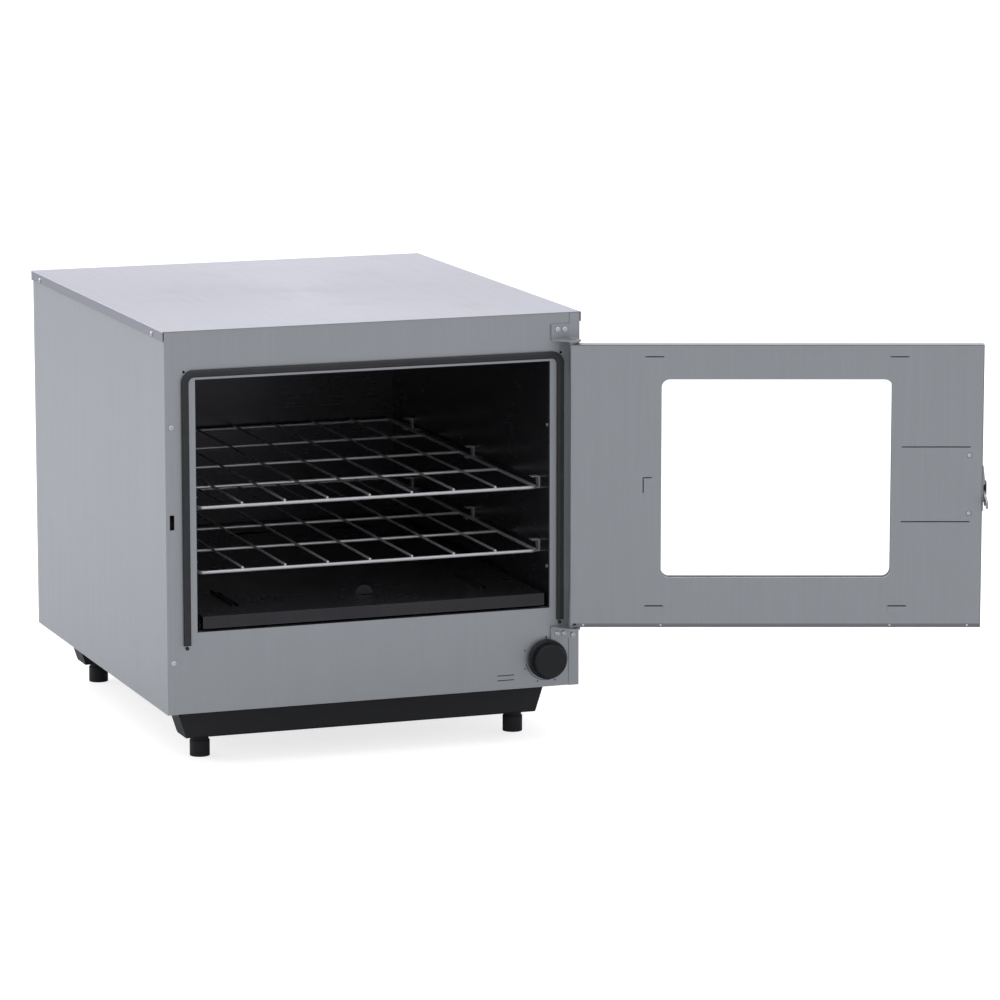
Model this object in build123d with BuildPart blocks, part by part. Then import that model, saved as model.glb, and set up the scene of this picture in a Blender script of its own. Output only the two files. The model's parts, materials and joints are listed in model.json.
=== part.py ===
from build123d import *
import os
from math import cos, radians, sin

# Countertop heated holding cabinet, in millimetres. X runs to the right, Y to the back, Z up.
# The origin is on the counter, in the centre of the four feet. Heights named ..._UP are
# measured from the underside of the body.

# ---- overall body -------------------------------------------------------------------------
SHEET = 1.0                    # thickness of every folded stainless sheet
FIT_GAP = 0.2                  # gap between neighbouring sheet edges
BODY_WIDTH = 610.0
BODY_DEPTH = 702.0
BODY_HEIGHT = 538.0
BODY_Z = 79.0                  # underside of the body above the counter
TOP_Z = BODY_Z + BODY_HEIGHT
HALF_WIDTH = BODY_WIDTH / 2
FRONT_Y = -BODY_DEPTH / 2      # outer face of the side panels' front flanges
FRAME_Y = FRONT_Y + SHEET      # outer face of the front frame
REAR_Y = BODY_DEPTH / 2 - SHEET
FLOOR_VENT = (8.0, 40.0)       # width and length of one vent in the bottom pan
FLOOR_VENT_PITCH = (24.0, 60.0)
FLOOR_VENT_COUNT = (8, 4)
REAR_VENT = (44.0, 5.0)
REAR_VENT_PITCH = 14.0
REAR_VENT_COUNT = 16
REAR_VENT_X = 90.0
REAR_VENT_Z = BODY_Z + 52.0
FLANGE = 14.0                  # return flanges of the side panels
LIP_HEIGHT = 14.0              # turned-down lips of the top cover
COVER_HALF = HALF_WIDTH + FIT_GAP + 2 * SHEET

# ---- base ---------------------------------------------------------------------------------
RAIL_HEIGHT = 49.0
RAIL_WIDTH = 48.0
RAIL_Y = 267.0
RAIL_HALF_TOP = 277.0
RAIL_HALF_BOTTOM = 261.0
RAIL_SHEET = 2.0
RAIL_TOP_FLANGE = 12.0
RAIL_SCREW_X = 180.0
FOOT_X = 235.0
FOOT_Y = 267.0
FOOT_RADIUS = 14.25
FOOT_NECK_RADIUS = 12.6
FOOT_HEIGHT = BODY_Z - RAIL_HEIGHT
FOOT_BORE_DEPTH = 15.0
FOOT_SCREW_RADIUS = 2.5

# ---- front opening and cavity ---------------------------------------------------------------
OPENING_HALF = 261.0
OPENING_LOW = BODY_Z + 114.5
OPENING_HIGH = BODY_Z + 469.5
JAMB_DEPTH = 15.0
WALL_INNER = OPENING_HALF - SHEET
WALL_SETBACK = 2.5
CAVITY_REAR_Y = 338.0
FLOOR_TOP = BODY_Z + 93.0
CEILING_LOW = OPENING_HIGH - SHEET
INSULATION_GAP = 1.3
INSULATION_SETBACK = 40.0      # from the front frame
REAR_CLEARANCE = 8.0
INSULATION_LOW = BODY_Z + 92.0
INSULATION_HIGH = BODY_Z + 520.0
RIVET_Y = FRAME_Y + 9.0
RIVET_HEIGHTS = (BODY_Z + 173.5, BODY_Z + 377.0)

# ---- shelves, clips and deck ------------------------------------------------------------------
SHELF_HALF_WIDTH = 250.0
SHELF_HALF_DEPTH = 325.0
FRAME_WIRE = 2.5               # radius of a shelf's outer wire
CROSS_WIRE = 2.2
LONG_WIRE = 1.75
LONG_RISE = 3.85
SHELF_CORNER = 8.0
SHELF_BAY_X = SHELF_HALF_WIDTH / 4
SHELF_BAY_Y = SHELF_HALF_DEPTH / 2
UPPER_SHELF_Z = BODY_Z + 285.3
LOWER_SHELF_Z = BODY_Z + 193.7
CLIP_SHEET = 1.2
CLIP_WIDTH = 12.0
CLIP_REACH = 11.7
CLIP_MOUTH = 15.0
CLIP_REST_GAP = 0.3
CLIP_MIDDLE_Y = -28.0
CLIP_PITCH = 277.0
DECK_TOP = BODY_Z + 136.0
DECK_SHEET = 1.2
DECK_HALF = 252.5
DECK_FRONT_Y = FRAME_Y + 0.3
DECK_REAR_Y = 330.0
DECK_LIP_LOW = BODY_Z + 119.0
DECK_SLOT_X = 185.0
DECK_SLOT_Y = -235.0
DECK_SLOT_LENGTH = 110.0
DECK_SLOT_WIDTH = 10.0
DECK_REAR_SLOT_Y = 250.0
DECK_REAR_SLOT_X = 162.0
DECK_REAR_SLOT_LENGTH = 64.0
LOUVER_RISE = 4.0
TAB_X = 12.0
TAB_Y = -262.0
TAB_RADIUS = 13.0

# ---- heating and control --------------------------------------------------------------------------
ELEMENT_RADIUS = 4.0
ELEMENT_Z = BODY_Z + 112.0
ELEMENT_BEND = 18.0
ELEMENT_OUTER_X = 180.0
ELEMENT_INNER_X = 60.0
ELEMENT_FRONT_Y = -270.0
ELEMENT_TURN_Y = 230.0
ELEMENT_END_Y = 290.0
ELEMENT_END_Z = BODY_Z + 66.0
SADDLE_WIDTH = 16.0
KNOB_X = 256.0
KNOB_Z = BODY_Z + 41.0
KNOB_REAR_Y = FRAME_Y - 3.4
KNOB_SKIRT_RADIUS = 28.5
KNOB_SKIRT_DEPTH = 8.0
KNOB_GROOVE_RADIUS = 22.6
KNOB_CAP_RADIUS = 23.6
KNOB_CAP_START = 10.0
KNOB_DEPTH = 18.5
KNOB_FLUTES = 36
KNOB_FLUTE_RADIUS = 1.9
KNOB_POINTER_HALF = 1.6
KNOB_BORE_DEPTH = 13.0
KNOB_HOLLOW_RADIUS = 20.0
KNOB_HOLLOW_DEPTH = 2.0
SHAFT_RADIUS = 3.0
SHAFT_DEPTH = 18.0             # behind the front frame
THERMOSTAT_SCREW_X = 14.0
THERMOSTAT_FLANGE = (23.0, 11.0)
THERMOSTAT_FLANGE_SHEET = 1.5
THERMOSTAT_BODY = (20.0, 19.0)
THERMOSTAT_BODY_START = 8.0
THERMOSTAT_BODY_END = 38.0
THERMOSTAT_NECK_RADIUS = 9.0
PROBE_Z = BODY_Z + 124.0
PROBE_RADIUS = 2.5
PROBE_BEND = 8.0
PROBE_START_Y = ELEMENT_FRONT_Y + 80.0
PROBE_END_Y = ELEMENT_FRONT_Y + 160.0
LIMIT_X = 100.0
LIMIT_Y = 60.0
LIMIT_RADIUS = 8.0
LIMIT_DEPTH = 10.0
LIMIT_EAR_HALF = 14.0
LIMIT_EAR_WIDTH = 4.0
LIMIT_TAB_X = 3.0
LIMIT_TAB = (0.4, 3.0, 8.0)
LEAD_RADIUS = 1.6
LEAD_BEND = 3.0
LEAD_Z = BODY_Z + 32.0
LEAD_STAGGER = 12.0
TERMINAL_X = -200.0
TERMINAL_Y = 267.0
TERMINAL_HALF = (34.0, 12.0)
TERMINAL_HEIGHT = 18.0
TERMINAL_STEP_HALF = 28.0
TERMINAL_STEP_Y = 4.0
TERMINAL_STEP_Z = 12.0
TERMINAL_PITCH = 14.0
TERMINAL_WAYS = 4
TERMINAL_HOLE = 2.5
TERMINAL_HOLE_Z = 8.0
GLAND_X = -200.0
GLAND_Z = BODY_Z + 45.0
GLAND_BORE = 4.5
GLAND_THREAD = 10.0
GLAND_INSIDE = 12.0
GLAND_NUT = 13.5               # radius over the corners of the hexagon
GLAND_NUT_HEIGHT = 6.0
GLAND_CAP_RADIUS = 11.0
GLAND_CAP_END = 18.0
ROUNDING = 3.0

# ---- door -----------------------------------------------------------------------------------------
DOOR_OPEN = 160.0              # degrees from closed
PIN_X = 288.2
PIN_Y = FRONT_Y - 17.0
PIN_RADIUS = 3.0
PIN_CLEARANCE = 0.06
DOOR_HINGE_EDGE = -3.3         # along the door, from the pin
DOOR_FREE_EDGE = 579.7
DOOR_MIDDLE = (DOOR_HINGE_EDGE + DOOR_FREE_EDGE) / 2
DOOR_LOW = BODY_Z + 90.0
DOOR_HIGH = BODY_Z + 495.0
DOOR_INNER = -11.0             # inner face, across the door from the pin
DOOR_OUTER = 9.0
SKIN_LOW = BODY_Z + 95.4
WINDOW_HALF = 162.6
WINDOW_LOW = BODY_Z + 161.8
WINDOW_HIGH = BODY_Z + 445.7
WINDOW_CORNER = 11.5
WINDOW_Z = (WINDOW_LOW + WINDOW_HIGH) / 2
WINDOW_FLANGE = 5.5
GLASS_THICKNESS = 4.0
GLASS_Y = -4.5                 # room side of the pane, across the door from the pin
GLASS_HALF = 178.0
GLASS_LOW = BODY_Z + 146.5
GLASS_HIGH = BODY_Z + 461.0
SLOT = 1.6
SLOT_LENGTH = 26.0
SLOT_OFFSET = 172.5
TOP_SLOT_Z = BODY_Z + 478.0
FOLD_Z = BODY_Z + 120.9
GLASS_CLIP_LIP = 6.0
KNUCKLE_PLATE = 30.0
PIN_INSET = 5.0                # the pins stop short of the far ends of their knuckles
PIN_HEAD = 1.5                 # head radius over pin radius
LEAF_CHAMFER = (0.8, 0.6)      # where the leaf's slanted edge leaves its round end
UPRIGHT_MARGIN = 8.0
SIDE_SLOT_START = DOOR_HINGE_EDGE + 102.5
SIDE_SLOT_WIDTH = 13.0
SIDE_SLOT_HEIGHT = 22.5
SIDE_SLOT_HIGH = BODY_Z + 306.2
PAD_HEIGHT = 7.5
PAD_RISE = 1.2
LATCH_SLIT_LOW = BODY_Z + 242.2
LATCH_SLIT_HIGH = BODY_Z + 349.4
LATCH_SLIT_START = 465.0
LATCH_SLIT_END = 562.0
LATCH_SCREW_U = 560.6
LATCH_SCREW_INSET = 12.0
KNUCKLE_RADIUS = 5.0
NOTCH_GAP = 0.6
BAND_LAP = 4.0                 # the pan's bottom return runs up behind the inner skin
TOP_KNUCKLE_LOW = BODY_Z + 453.0
BOTTOM_KNUCKLE_HIGH = BODY_Z + 129.0

# ---- hinge brackets --------------------------------------------------------------------------------
LEAF = 2.5
LEAF_RADIUS = 12.0
LEAF_LEFT = 262.0
LEAF_RIGHT = 289.5
TOP_LEAF_LOW = BODY_Z + 498.6
BOTTOM_LEAF_HIGH = BODY_Z + 87.4
TOP_LEAF_SCREW_Z = BODY_Z + 514.0
BOTTOM_LEAF_SCREW_Z = BODY_Z + 77.0
HINGE_SCREWS_X = (271.4, 282.0)

# ---- gasket -----------------------------------------------------------------------------------------
GASKET_WIDTH = 10.0
GASKET_HEIGHT = 6.3
GASKET_HALF = 281.0
GASKET_HIGH = BODY_Z + 483.0
GASKET_LOW = BODY_Z + 97.0
GASKET_CORNER = 18.0
GASKET_X = GASKET_HALF - GASKET_WIDTH / 2
GASKET_PIN_Z = BODY_Z + 93.0

# ---- latch --------------------------------------------------------------------------------------------
CATCH_X = -296.1
CATCH_WIDTH = 6.7
CATCH_LOW = BODY_Z + 261.0
CATCH_HIGH = BODY_Z + 282.0
LATCH_Z = BODY_Z + 271.0       # height of the lever's pivot
LEVER_START = 583.2            # along the door, from the pin
LEVER_THICKNESS = 3.0
LEVER_HUB = 8.0
GRIP_HEIGHT = 30.0
GRIP_Y = 27.0
GRIP_Z = LATCH_Z + 9.5
GRIP_THICKNESS = 14.0
GRIP_ROUNDING = 6.5
GRIP_OVERHANG = 20.0           # along the door, inwards from the lever
GRIP_CAP = 2.5
GRIP_EDGE = 1.5
PIVOT_RADIUS = 2.5
# Outlines seen along the door's width: across the door, and up from the lever's pivot.
BRACKET_OUTLINE = ((0.0, -14.0), (1.5, -14.0), (1.5, 23.0), (4.5, 25.0), (1.5, 51.0), (0.0, 51.0))
BRACKET_START = -6.0
BRACKET_DEPTH = 14.0
HOOK_OUTLINE = (
    (0.0, 5.0),
    (-28.0, 5.0),
    (-31.0, 2.0),
    (-31.0, -7.0),
    (-25.0, -7.0),
    (-24.0, -4.0),
    (0.0, -4.0),
)
ARM_OUTLINE = ((0.0, -5.0), (31.0, 5.5), (31.0, 13.5), (0.0, 7.0))

# ---- fasteners ------------------------------------------------------------------------------------------
SCREW_HEAD = 3.5
SCREW_HEAD_HEIGHT = 2.0
SCREW_SHANK = 1.9
HOLE = 2.0
SCREW_LENGTH = 6.0
RECESS = 0.9                   # width and depth of the cross recess
RECESS_SPAN = 1.1              # its length over the head's radius
DIMPLE_RADIUS = 4.2            # pressed seats that keep the door screws clear of the gasket
DIMPLE_DEPTH = 1.7
DOOR_SCREW_HEAD = 3.0
DOOR_SCREW_HEIGHT = 1.4
BAND_RIVET_HEAD = 1.6
BAND_RIVET_OFFSETS = (-272.5, -162.6, 162.6, 272.5)
FRAME_SCREW_X = 296.0
FRAME_SCREW_HEIGHTS = (BODY_Z + 73.4, BODY_Z + 404.3)
COVER_SCREW_Y = 300.0
COVER_SCREW_Z = BODY_Z + 529.0
REAR_SCREW_X = 297.0
REAR_SCREW_HEIGHTS = (BODY_Z + 40.0, BODY_Z + 270.0, BODY_Z + 500.0)

# ---- work planes ----------------------------------------------------------------------------------------
def facing_front(x, y, z):
    """A plane at a point, drawn as seen from the front and growing towards the viewer."""
    return Plane(origin=(x, y, z), x_dir=(1, 0, 0), z_dir=(0, -1, 0))


def facing_up(x, y, z):
    """A level plane at a point, growing upwards."""
    return Plane(origin=(x, y, z), x_dir=(1, 0, 0), z_dir=(0, 0, 1))


def facing_right(x, y, z):
    """An upright plane at a point, growing to the right."""
    return Plane(origin=(x, y, z), x_dir=(0, 1, 0), z_dir=(1, 0, 0))


swing = radians(DOOR_OPEN + 180.0)
# Along the door X runs from the hinge pin to the free edge, Y from the cavity side to the room side.
DOOR = Plane(origin=(PIN_X, PIN_Y, 0.0), x_dir=(cos(swing), sin(swing), 0.0), z_dir=(0.0, 0.0, 1.0))
# The same door seen square on from its cavity side, growing towards the viewer.
DOOR_FACE = Plane(origin=DOOR.origin, x_dir=DOOR.x_dir, z_dir=-DOOR.y_dir)
# The door seen along its width, growing from the free edge outwards.
DOOR_END = Plane(origin=DOOR.origin, x_dir=DOOR.y_dir, z_dir=DOOR.x_dir)

os.makedirs("parts", exist_ok=True)


def block(x_range, y_range, z_range, mode=Mode.ADD):
    """A box between two opposite corners of the current work plane."""
    centre = [(low + high) / 2 for low, high in (x_range, y_range, z_range)]
    size = [high - low for low, high in (x_range, y_range, z_range)]
    with Locations(tuple(centre)):
        Box(*size, mode=mode)


def pillar(plane, radius, start, end, mode=Mode.ADD):
    """A round bar along the normal of a plane, from start to end."""
    with BuildSketch(plane.offset(start)) as profile:
        Circle(radius)
    extrude(profile.sketch, amount=end - start, mode=mode)


def drill(points, outward, radius, depth=SCREW_LENGTH):
    """Round holes through a sheet, centred on points of its outer face."""
    for point in points:
        pillar(Plane(origin=point, z_dir=outward), radius, -depth, depth, Mode.SUBTRACT)


def screws(points, outward, length=SCREW_LENGTH, head=SCREW_HEAD, height=SCREW_HEAD_HEIGHT):
    """Pan-head cross-recess screws seated on the given points."""
    recess = min(RECESS, height / 2)
    for point in points:
        seat = Plane(origin=point, z_dir=outward)
        pillar(seat, head, 0.0, height)
        rim = edges().filter_by(GeomType.CIRCLE).sort_by_distance(seat.offset(height).origin)
        fillet([edge for edge in rim if abs(edge.radius - head) < FIT_GAP][:1], height / 2)
        pillar(seat, SCREW_SHANK, -length, 0.0)
        for turn in (0.0, 90.0):
            with BuildSketch(seat.offset(height - recess)) as profile:
                Rectangle(head * RECESS_SPAN, RECESS, rotation=turn)
            extrude(profile.sketch, amount=2 * recess, mode=Mode.SUBTRACT)


# ---- fastener positions ---------------------------------------------------------------------------------
frame_screw_points = [
    (side * FRAME_SCREW_X, FRONT_Y, z) for side in (-1, 1) for z in FRAME_SCREW_HEIGHTS
]
cover_screw_points = {
    side: [(side * COVER_HALF, y, COVER_SCREW_Z) for y in (-COVER_SCREW_Y, COVER_SCREW_Y)]
    for side in (-1, 1)
}
rear_screw_points = [
    (side * REAR_SCREW_X, REAR_Y + SHEET, z) for side in (-1, 1) for z in REAR_SCREW_HEIGHTS
]
rail_flange_y = RAIL_WIDTH / 2 - RAIL_TOP_FLANGE / 2
rail_screw_points = [
    (x, end * RAIL_Y + flange, BODY_Z + SHEET)
    for end in (-1, 1)
    for x in (-RAIL_SCREW_X, RAIL_SCREW_X)
    for flange in (-rail_flange_y, rail_flange_y)
]
foot_points = [(x, y) for x in (-FOOT_X, FOOT_X) for y in (-FOOT_Y, FOOT_Y)]
rivet_points = {side: [(side * WALL_INNER, RIVET_Y, z) for z in RIVET_HEIGHTS] for side in (-1, 1)}
thermostat_screw_points = [(KNOB_X + side * THERMOSTAT_SCREW_X, FRAME_Y, KNOB_Z) for side in (-1, 1)]
top_hinge_points = [(x, FRAME_Y - LEAF, TOP_LEAF_SCREW_Z) for x in HINGE_SCREWS_X]
bottom_hinge_points = [(x, FRAME_Y - LEAF, BOTTOM_LEAF_SCREW_Z) for x in HINGE_SCREWS_X]
gasket_pin_points = [(side * GASKET_X, FRAME_Y, GASKET_PIN_Z) for side in (-1, 1)]


# ======== base ============================================================================================
def base_rail(end):
    """A folded channel with slanted ends, open at the top between two inward flanges."""
    top = BODY_Z
    bottom = BODY_Z - RAIL_HEIGHT
    with BuildSketch(facing_front(0.0, end * RAIL_Y + RAIL_WIDTH / 2, 0.0)) as profile:
        with BuildLine():
            Polyline(
                (-RAIL_HALF_TOP, top),
                (-RAIL_HALF_BOTTOM, bottom),
                (RAIL_HALF_BOTTOM, bottom),
                (RAIL_HALF_TOP, top),
                close=True,
            )
        make_face()
    extrude(profile.sketch, amount=RAIL_WIDTH)
    fillet(edges().filter_by(Axis.X).group_by(Axis.Z)[0], RAIL_SHEET + SHEET)
    with BuildSketch(facing_front(0.0, end * RAIL_Y + RAIL_WIDTH / 2 - RAIL_SHEET, 0.0)) as profile:
        with BuildLine():
            Polyline(
                (-RAIL_HALF_TOP + RAIL_SHEET, top - RAIL_SHEET),
                (-RAIL_HALF_BOTTOM + RAIL_SHEET, bottom + RAIL_SHEET),
                (RAIL_HALF_BOTTOM - RAIL_SHEET, bottom + RAIL_SHEET),
                (RAIL_HALF_TOP - RAIL_SHEET, top - RAIL_SHEET),
                close=True,
            )
        make_face()
    extrude(profile.sketch, amount=RAIL_WIDTH - 2 * RAIL_SHEET, mode=Mode.SUBTRACT)
    inner = RAIL_WIDTH / 2 - RAIL_TOP_FLANGE
    inner_half = RAIL_HALF_TOP - RAIL_SHEET - RAIL_TOP_FLANGE
    y_middle = end * RAIL_Y
    block(
        (-inner_half, inner_half),
        (y_middle - inner, y_middle + inner),
        (top - 2 * RAIL_SHEET, top + SHEET),
        Mode.SUBTRACT,
    )
    drill([point for point in rail_screw_points if point[1] * end > 0], (0, 0, 1), HOLE)
    drill([(x, y, bottom) for x, y in foot_points if y * end > 0], (0, 0, -1), FOOT_SCREW_RADIUS + FIT_GAP / 2)


with BuildPart() as base_rail_front:
    base_rail(-1)

with BuildPart() as base_rail_rear:
    base_rail(1)


def foot(x, y):
    """A moulded rubber foot with a waisted top and a blind screw hole."""
    waist = FOOT_HEIGHT / 4
    with BuildSketch(facing_front(x, y, 0.0)) as profile:
        with BuildLine():
            Polyline(
                (0.0, 0.0),
                (FOOT_RADIUS, 0.0),
                (FOOT_RADIUS, FOOT_HEIGHT - waist),
                (FOOT_NECK_RADIUS, FOOT_HEIGHT - waist + SHEET),
                (FOOT_NECK_RADIUS, FOOT_HEIGHT - 2 * SHEET),
                (FOOT_RADIUS - SHEET / 2, FOOT_HEIGHT - SHEET),
                (FOOT_RADIUS - SHEET / 2, FOOT_HEIGHT),
                (0.0, FOOT_HEIGHT),
                close=True,
            )
        make_face()
    revolve(profile.sketch, axis=Axis((x, y, 0.0), (0, 0, 1)))
    chamfer(edges().group_by(Axis.Z)[0], FIT_GAP)
    pillar(facing_up(x, y, 0.0), FOOT_SCREW_RADIUS, FOOT_BORE_DEPTH, FOOT_HEIGHT + SHEET, Mode.SUBTRACT)


with BuildPart() as foot_front_left:
    foot(-FOOT_X, -FOOT_Y)

with BuildPart() as foot_front_right:
    foot(FOOT_X, -FOOT_Y)

with BuildPart() as foot_rear_left:
    foot(-FOOT_X, FOOT_Y)

with BuildPart() as foot_rear_right:
    foot(FOOT_X, FOOT_Y)

with BuildPart() as foot_screws:
    for x, y in foot_points:
        seat = facing_up(x, y, FOOT_HEIGHT + RAIL_SHEET)
        pillar(seat, 2 * FOOT_SCREW_RADIUS, 0.0, SCREW_HEAD_HEIGHT)
        pillar(seat, FOOT_SCREW_RADIUS, FOOT_BORE_DEPTH + SHEET - FOOT_HEIGHT - RAIL_SHEET, 0.0)

with BuildPart() as base_rail_screws:
    screws(rail_screw_points, (0, 0, 1))


# ======== outer body ======================================================================================
with BuildPart() as bottom_pan:
    pan_half = HALF_WIDTH - SHEET - FIT_GAP
    pan_y = (FRAME_Y + SHEET + FIT_GAP, REAR_Y - SHEET - FIT_GAP)
    block((-pan_half, pan_half), pan_y, (BODY_Z, BODY_Z + FLANGE))
    block(
        (SHEET - pan_half, pan_half - SHEET),
        (pan_y[0] + SHEET, pan_y[1] - SHEET),
        (BODY_Z + SHEET, TOP_Z),
        Mode.SUBTRACT,
    )
    drill(rail_screw_points, (0, 0, 1), HOLE)
    with Locations((0.0, 0.0, BODY_Z)):
        with GridLocations(*FLOOR_VENT_PITCH, *FLOOR_VENT_COUNT):
            Box(*FLOOR_VENT, 4 * SHEET, mode=Mode.SUBTRACT)


def side_panel(side):
    """A side sheet with a return flange at the front and at the rear."""
    outer = side * HALF_WIDTH
    top = TOP_Z - SHEET - FIT_GAP
    with BuildSketch(Plane.XY.offset(BODY_Z)) as profile:
        with Locations((outer - side * (FLANGE + SHEET) / 2, (FRONT_Y + REAR_Y) / 2)):
            Rectangle(FLANGE + SHEET, REAR_Y - FRONT_Y)
        with Locations((outer - side * (FLANGE + 3 * SHEET) / 2, (FRONT_Y + REAR_Y) / 2)):
            Rectangle(FLANGE + SHEET, REAR_Y - FRONT_Y - 2 * SHEET, mode=Mode.SUBTRACT)
    extrude(profile.sketch, amount=top - BODY_Z)
    drill([(side * FRAME_SCREW_X, FRONT_Y, z) for z in FRAME_SCREW_HEIGHTS], (0, -1, 0), HOLE)
    drill(cover_screw_points[side], (side, 0, 0), HOLE)
    drill([point for point in rear_screw_points if point[0] * side > 0], (0, 1, 0), HOLE)


with BuildPart() as side_panel_left:
    side_panel(-1)
    block(
        (CATCH_X - CATCH_WIDTH / 2, CATCH_X + CATCH_WIDTH / 2),
        (FRONT_Y - SHEET, FRONT_Y + 2 * SHEET),
        (CATCH_LOW, CATCH_HIGH),
        Mode.SUBTRACT,
    )

with BuildPart() as side_panel_right:
    side_panel(1)

with BuildPart() as top_cover:
    cover_y = (FRONT_Y, REAR_Y + 2 * SHEET + FIT_GAP)
    block((-COVER_HALF, COVER_HALF), cover_y, (TOP_Z - LIP_HEIGHT, TOP_Z))
    fillet(edges().filter_by(Axis.Y).group_by(Axis.Z)[-1], SHEET)
    block(
        (SHEET - COVER_HALF, COVER_HALF - SHEET),
        (cover_y[0] - SHEET, cover_y[1] - SHEET),
        (BODY_Z, TOP_Z - SHEET),
        Mode.SUBTRACT,
    )
    for side in (-1, 1):
        drill(cover_screw_points[side], (side, 0, 0), HOLE)

with BuildPart() as rear_panel:
    panel_half = HALF_WIDTH - 3 * SHEET / 2
    block((-panel_half, panel_half), (REAR_Y, REAR_Y + SHEET), (BODY_Z + SHEET, TOP_Z - SHEET - FIT_GAP))
    drill(rear_screw_points, (0, 1, 0), HOLE)
    drill([(GLAND_X, REAR_Y, GLAND_Z)], (0, 1, 0), GLAND_THREAD + FIT_GAP / 2)
    with BuildSketch(facing_front(0.0, REAR_Y + 2 * SHEET, 0.0)):
        with Locations((REAR_VENT_X, REAR_VENT_Z)):
            with GridLocations(REAR_VENT_PITCH, 0.0, REAR_VENT_COUNT, 1):
                SlotOverall(*REAR_VENT, rotation=90)
    extrude(amount=4 * SHEET, mode=Mode.SUBTRACT)

with BuildPart() as front_frame:
    frame_half = HALF_WIDTH - SHEET - FIT_GAP
    frame_z = (BODY_Z + SHEET + FIT_GAP, TOP_Z - SHEET - FIT_GAP)
    block((-frame_half, frame_half), (FRAME_Y, FRAME_Y + SHEET), frame_z)
    block(
        (-OPENING_HALF - SHEET, OPENING_HALF + SHEET),
        (FRAME_Y, FRAME_Y + JAMB_DEPTH),
        (OPENING_LOW - SHEET, OPENING_HIGH + SHEET),
    )
    block(
        (-OPENING_HALF, OPENING_HALF),
        (FRONT_Y - SHEET, FRAME_Y + JAMB_DEPTH + SHEET),
        (OPENING_LOW, OPENING_HIGH),
        Mode.SUBTRACT,
    )
    block(
        (CATCH_X - CATCH_WIDTH / 2, CATCH_X + CATCH_WIDTH / 2),
        (FRONT_Y - SHEET, FRAME_Y + 2 * SHEET),
        (CATCH_LOW, CATCH_HIGH),
        Mode.SUBTRACT,
    )
    drill(frame_screw_points, (0, -1, 0), HOLE)
    drill([(KNOB_X, FRAME_Y, KNOB_Z)], (0, -1, 0), 2 * SHAFT_RADIUS)
    drill(thermostat_screw_points, (0, -1, 0), HOLE)
    drill(top_hinge_points + bottom_hinge_points, (0, -1, 0), HOLE)
    drill(gasket_pin_points, (0, -1, 0), HOLE)
    corner_points = [(side * (GASKET_X + SHEET), FRAME_Y, GASKET_HIGH - HOLE) for side in (-1, 1)]
    drill(corner_points, (0, -1, 0), SCREW_SHANK)
    for side in (-1, 1):
        drill(rivet_points[side], (side, 0, 0), SCREW_SHANK)

with BuildPart() as top_cover_screws:
    for side in (-1, 1):
        screws(cover_screw_points[side], (side, 0, 0))

with BuildPart() as front_frame_screws:
    screws(frame_screw_points, (0, -1, 0))

with BuildPart() as rear_panel_screws:
    screws(rear_screw_points, (0, 1, 0))


# ======== cavity ===========================================================================================
def cavity_wall(side):
    """A plain side wall of the cavity, riveted inside the jamb of the front frame."""
    x_range = sorted((side * WALL_INNER, side * OPENING_HALF))
    block(x_range, (FRONT_Y + WALL_SETBACK, CAVITY_REAR_Y + SHEET), (FLOOR_TOP - SHEET, OPENING_HIGH))
    block(
        (-HALF_WIDTH, HALF_WIDTH),
        (FRONT_Y, FRAME_Y + JAMB_DEPTH + FIT_GAP),
        (BODY_Z, OPENING_LOW + FIT_GAP),
        Mode.SUBTRACT,
    )
    drill(rivet_points[side], (side, 0, 0), SCREW_SHANK)


with BuildPart() as cavity_wall_left:
    cavity_wall(-1)

with BuildPart() as cavity_wall_right:
    cavity_wall(1)

cavity_x = (FIT_GAP / 2 - WALL_INNER, WALL_INNER - FIT_GAP / 2)

with BuildPart() as cavity_wall_rear:
    block(cavity_x, (CAVITY_REAR_Y, CAVITY_REAR_Y + SHEET), (FLOOR_TOP - SHEET, OPENING_HIGH))

with BuildPart() as cavity_ceiling:
    block(cavity_x, (FRONT_Y + WALL_SETBACK, CAVITY_REAR_Y - FIT_GAP / 2), (CEILING_LOW, OPENING_HIGH))

with BuildPart() as cavity_floor:
    floor_front = FRAME_Y + JAMB_DEPTH + SHEET
    lip_top = OPENING_LOW - SHEET
    block(cavity_x, (floor_front, CAVITY_REAR_Y - FIT_GAP / 2), (FLOOR_TOP - SHEET, FLOOR_TOP))
    block(cavity_x, (floor_front, floor_front + SHEET), (FLOOR_TOP - SHEET, lip_top))
    block(cavity_x, (FRONT_Y + WALL_SETBACK, floor_front + SHEET), (lip_top - SHEET, lip_top))
    element_ends = [(x, ELEMENT_END_Y, FLOOR_TOP) for x in (-ELEMENT_OUTER_X, ELEMENT_OUTER_X)]
    drill(element_ends, (0, 0, 1), ELEMENT_RADIUS + SHEET)
    drill([(WALL_INNER - LEAD_RADIUS * 2, ELEMENT_FRONT_Y, FLOOR_TOP)], (0, 0, 1), LEAD_RADIUS + SHEET / 2)

with BuildPart() as cavity_rivets:
    for side in (-1, 1):
        for x, y, z in rivet_points[side]:
            face = Plane(origin=(x, y, z), z_dir=(-side, 0, 0))
            pillar(face, SCREW_HEAD - SHEET, 0.0, SHEET)
            pillar(face, SCREW_SHANK - FIT_GAP / 2, -3 * SHEET, 0.0)


insulation_y = (FRAME_Y + INSULATION_SETBACK, REAR_Y - REAR_CLEARANCE)


def insulation_side(side):
    """A mineral-wool slab between the cavity wall and the side panel."""
    near = OPENING_HALF + SHEET + INSULATION_GAP
    far = HALF_WIDTH - SHEET - INSULATION_GAP
    block(sorted((side * near, side * far)), insulation_y, (INSULATION_LOW, INSULATION_HIGH))


with BuildPart() as insulation_left:
    insulation_side(-1)

with BuildPart() as insulation_right:
    insulation_side(1)

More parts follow.
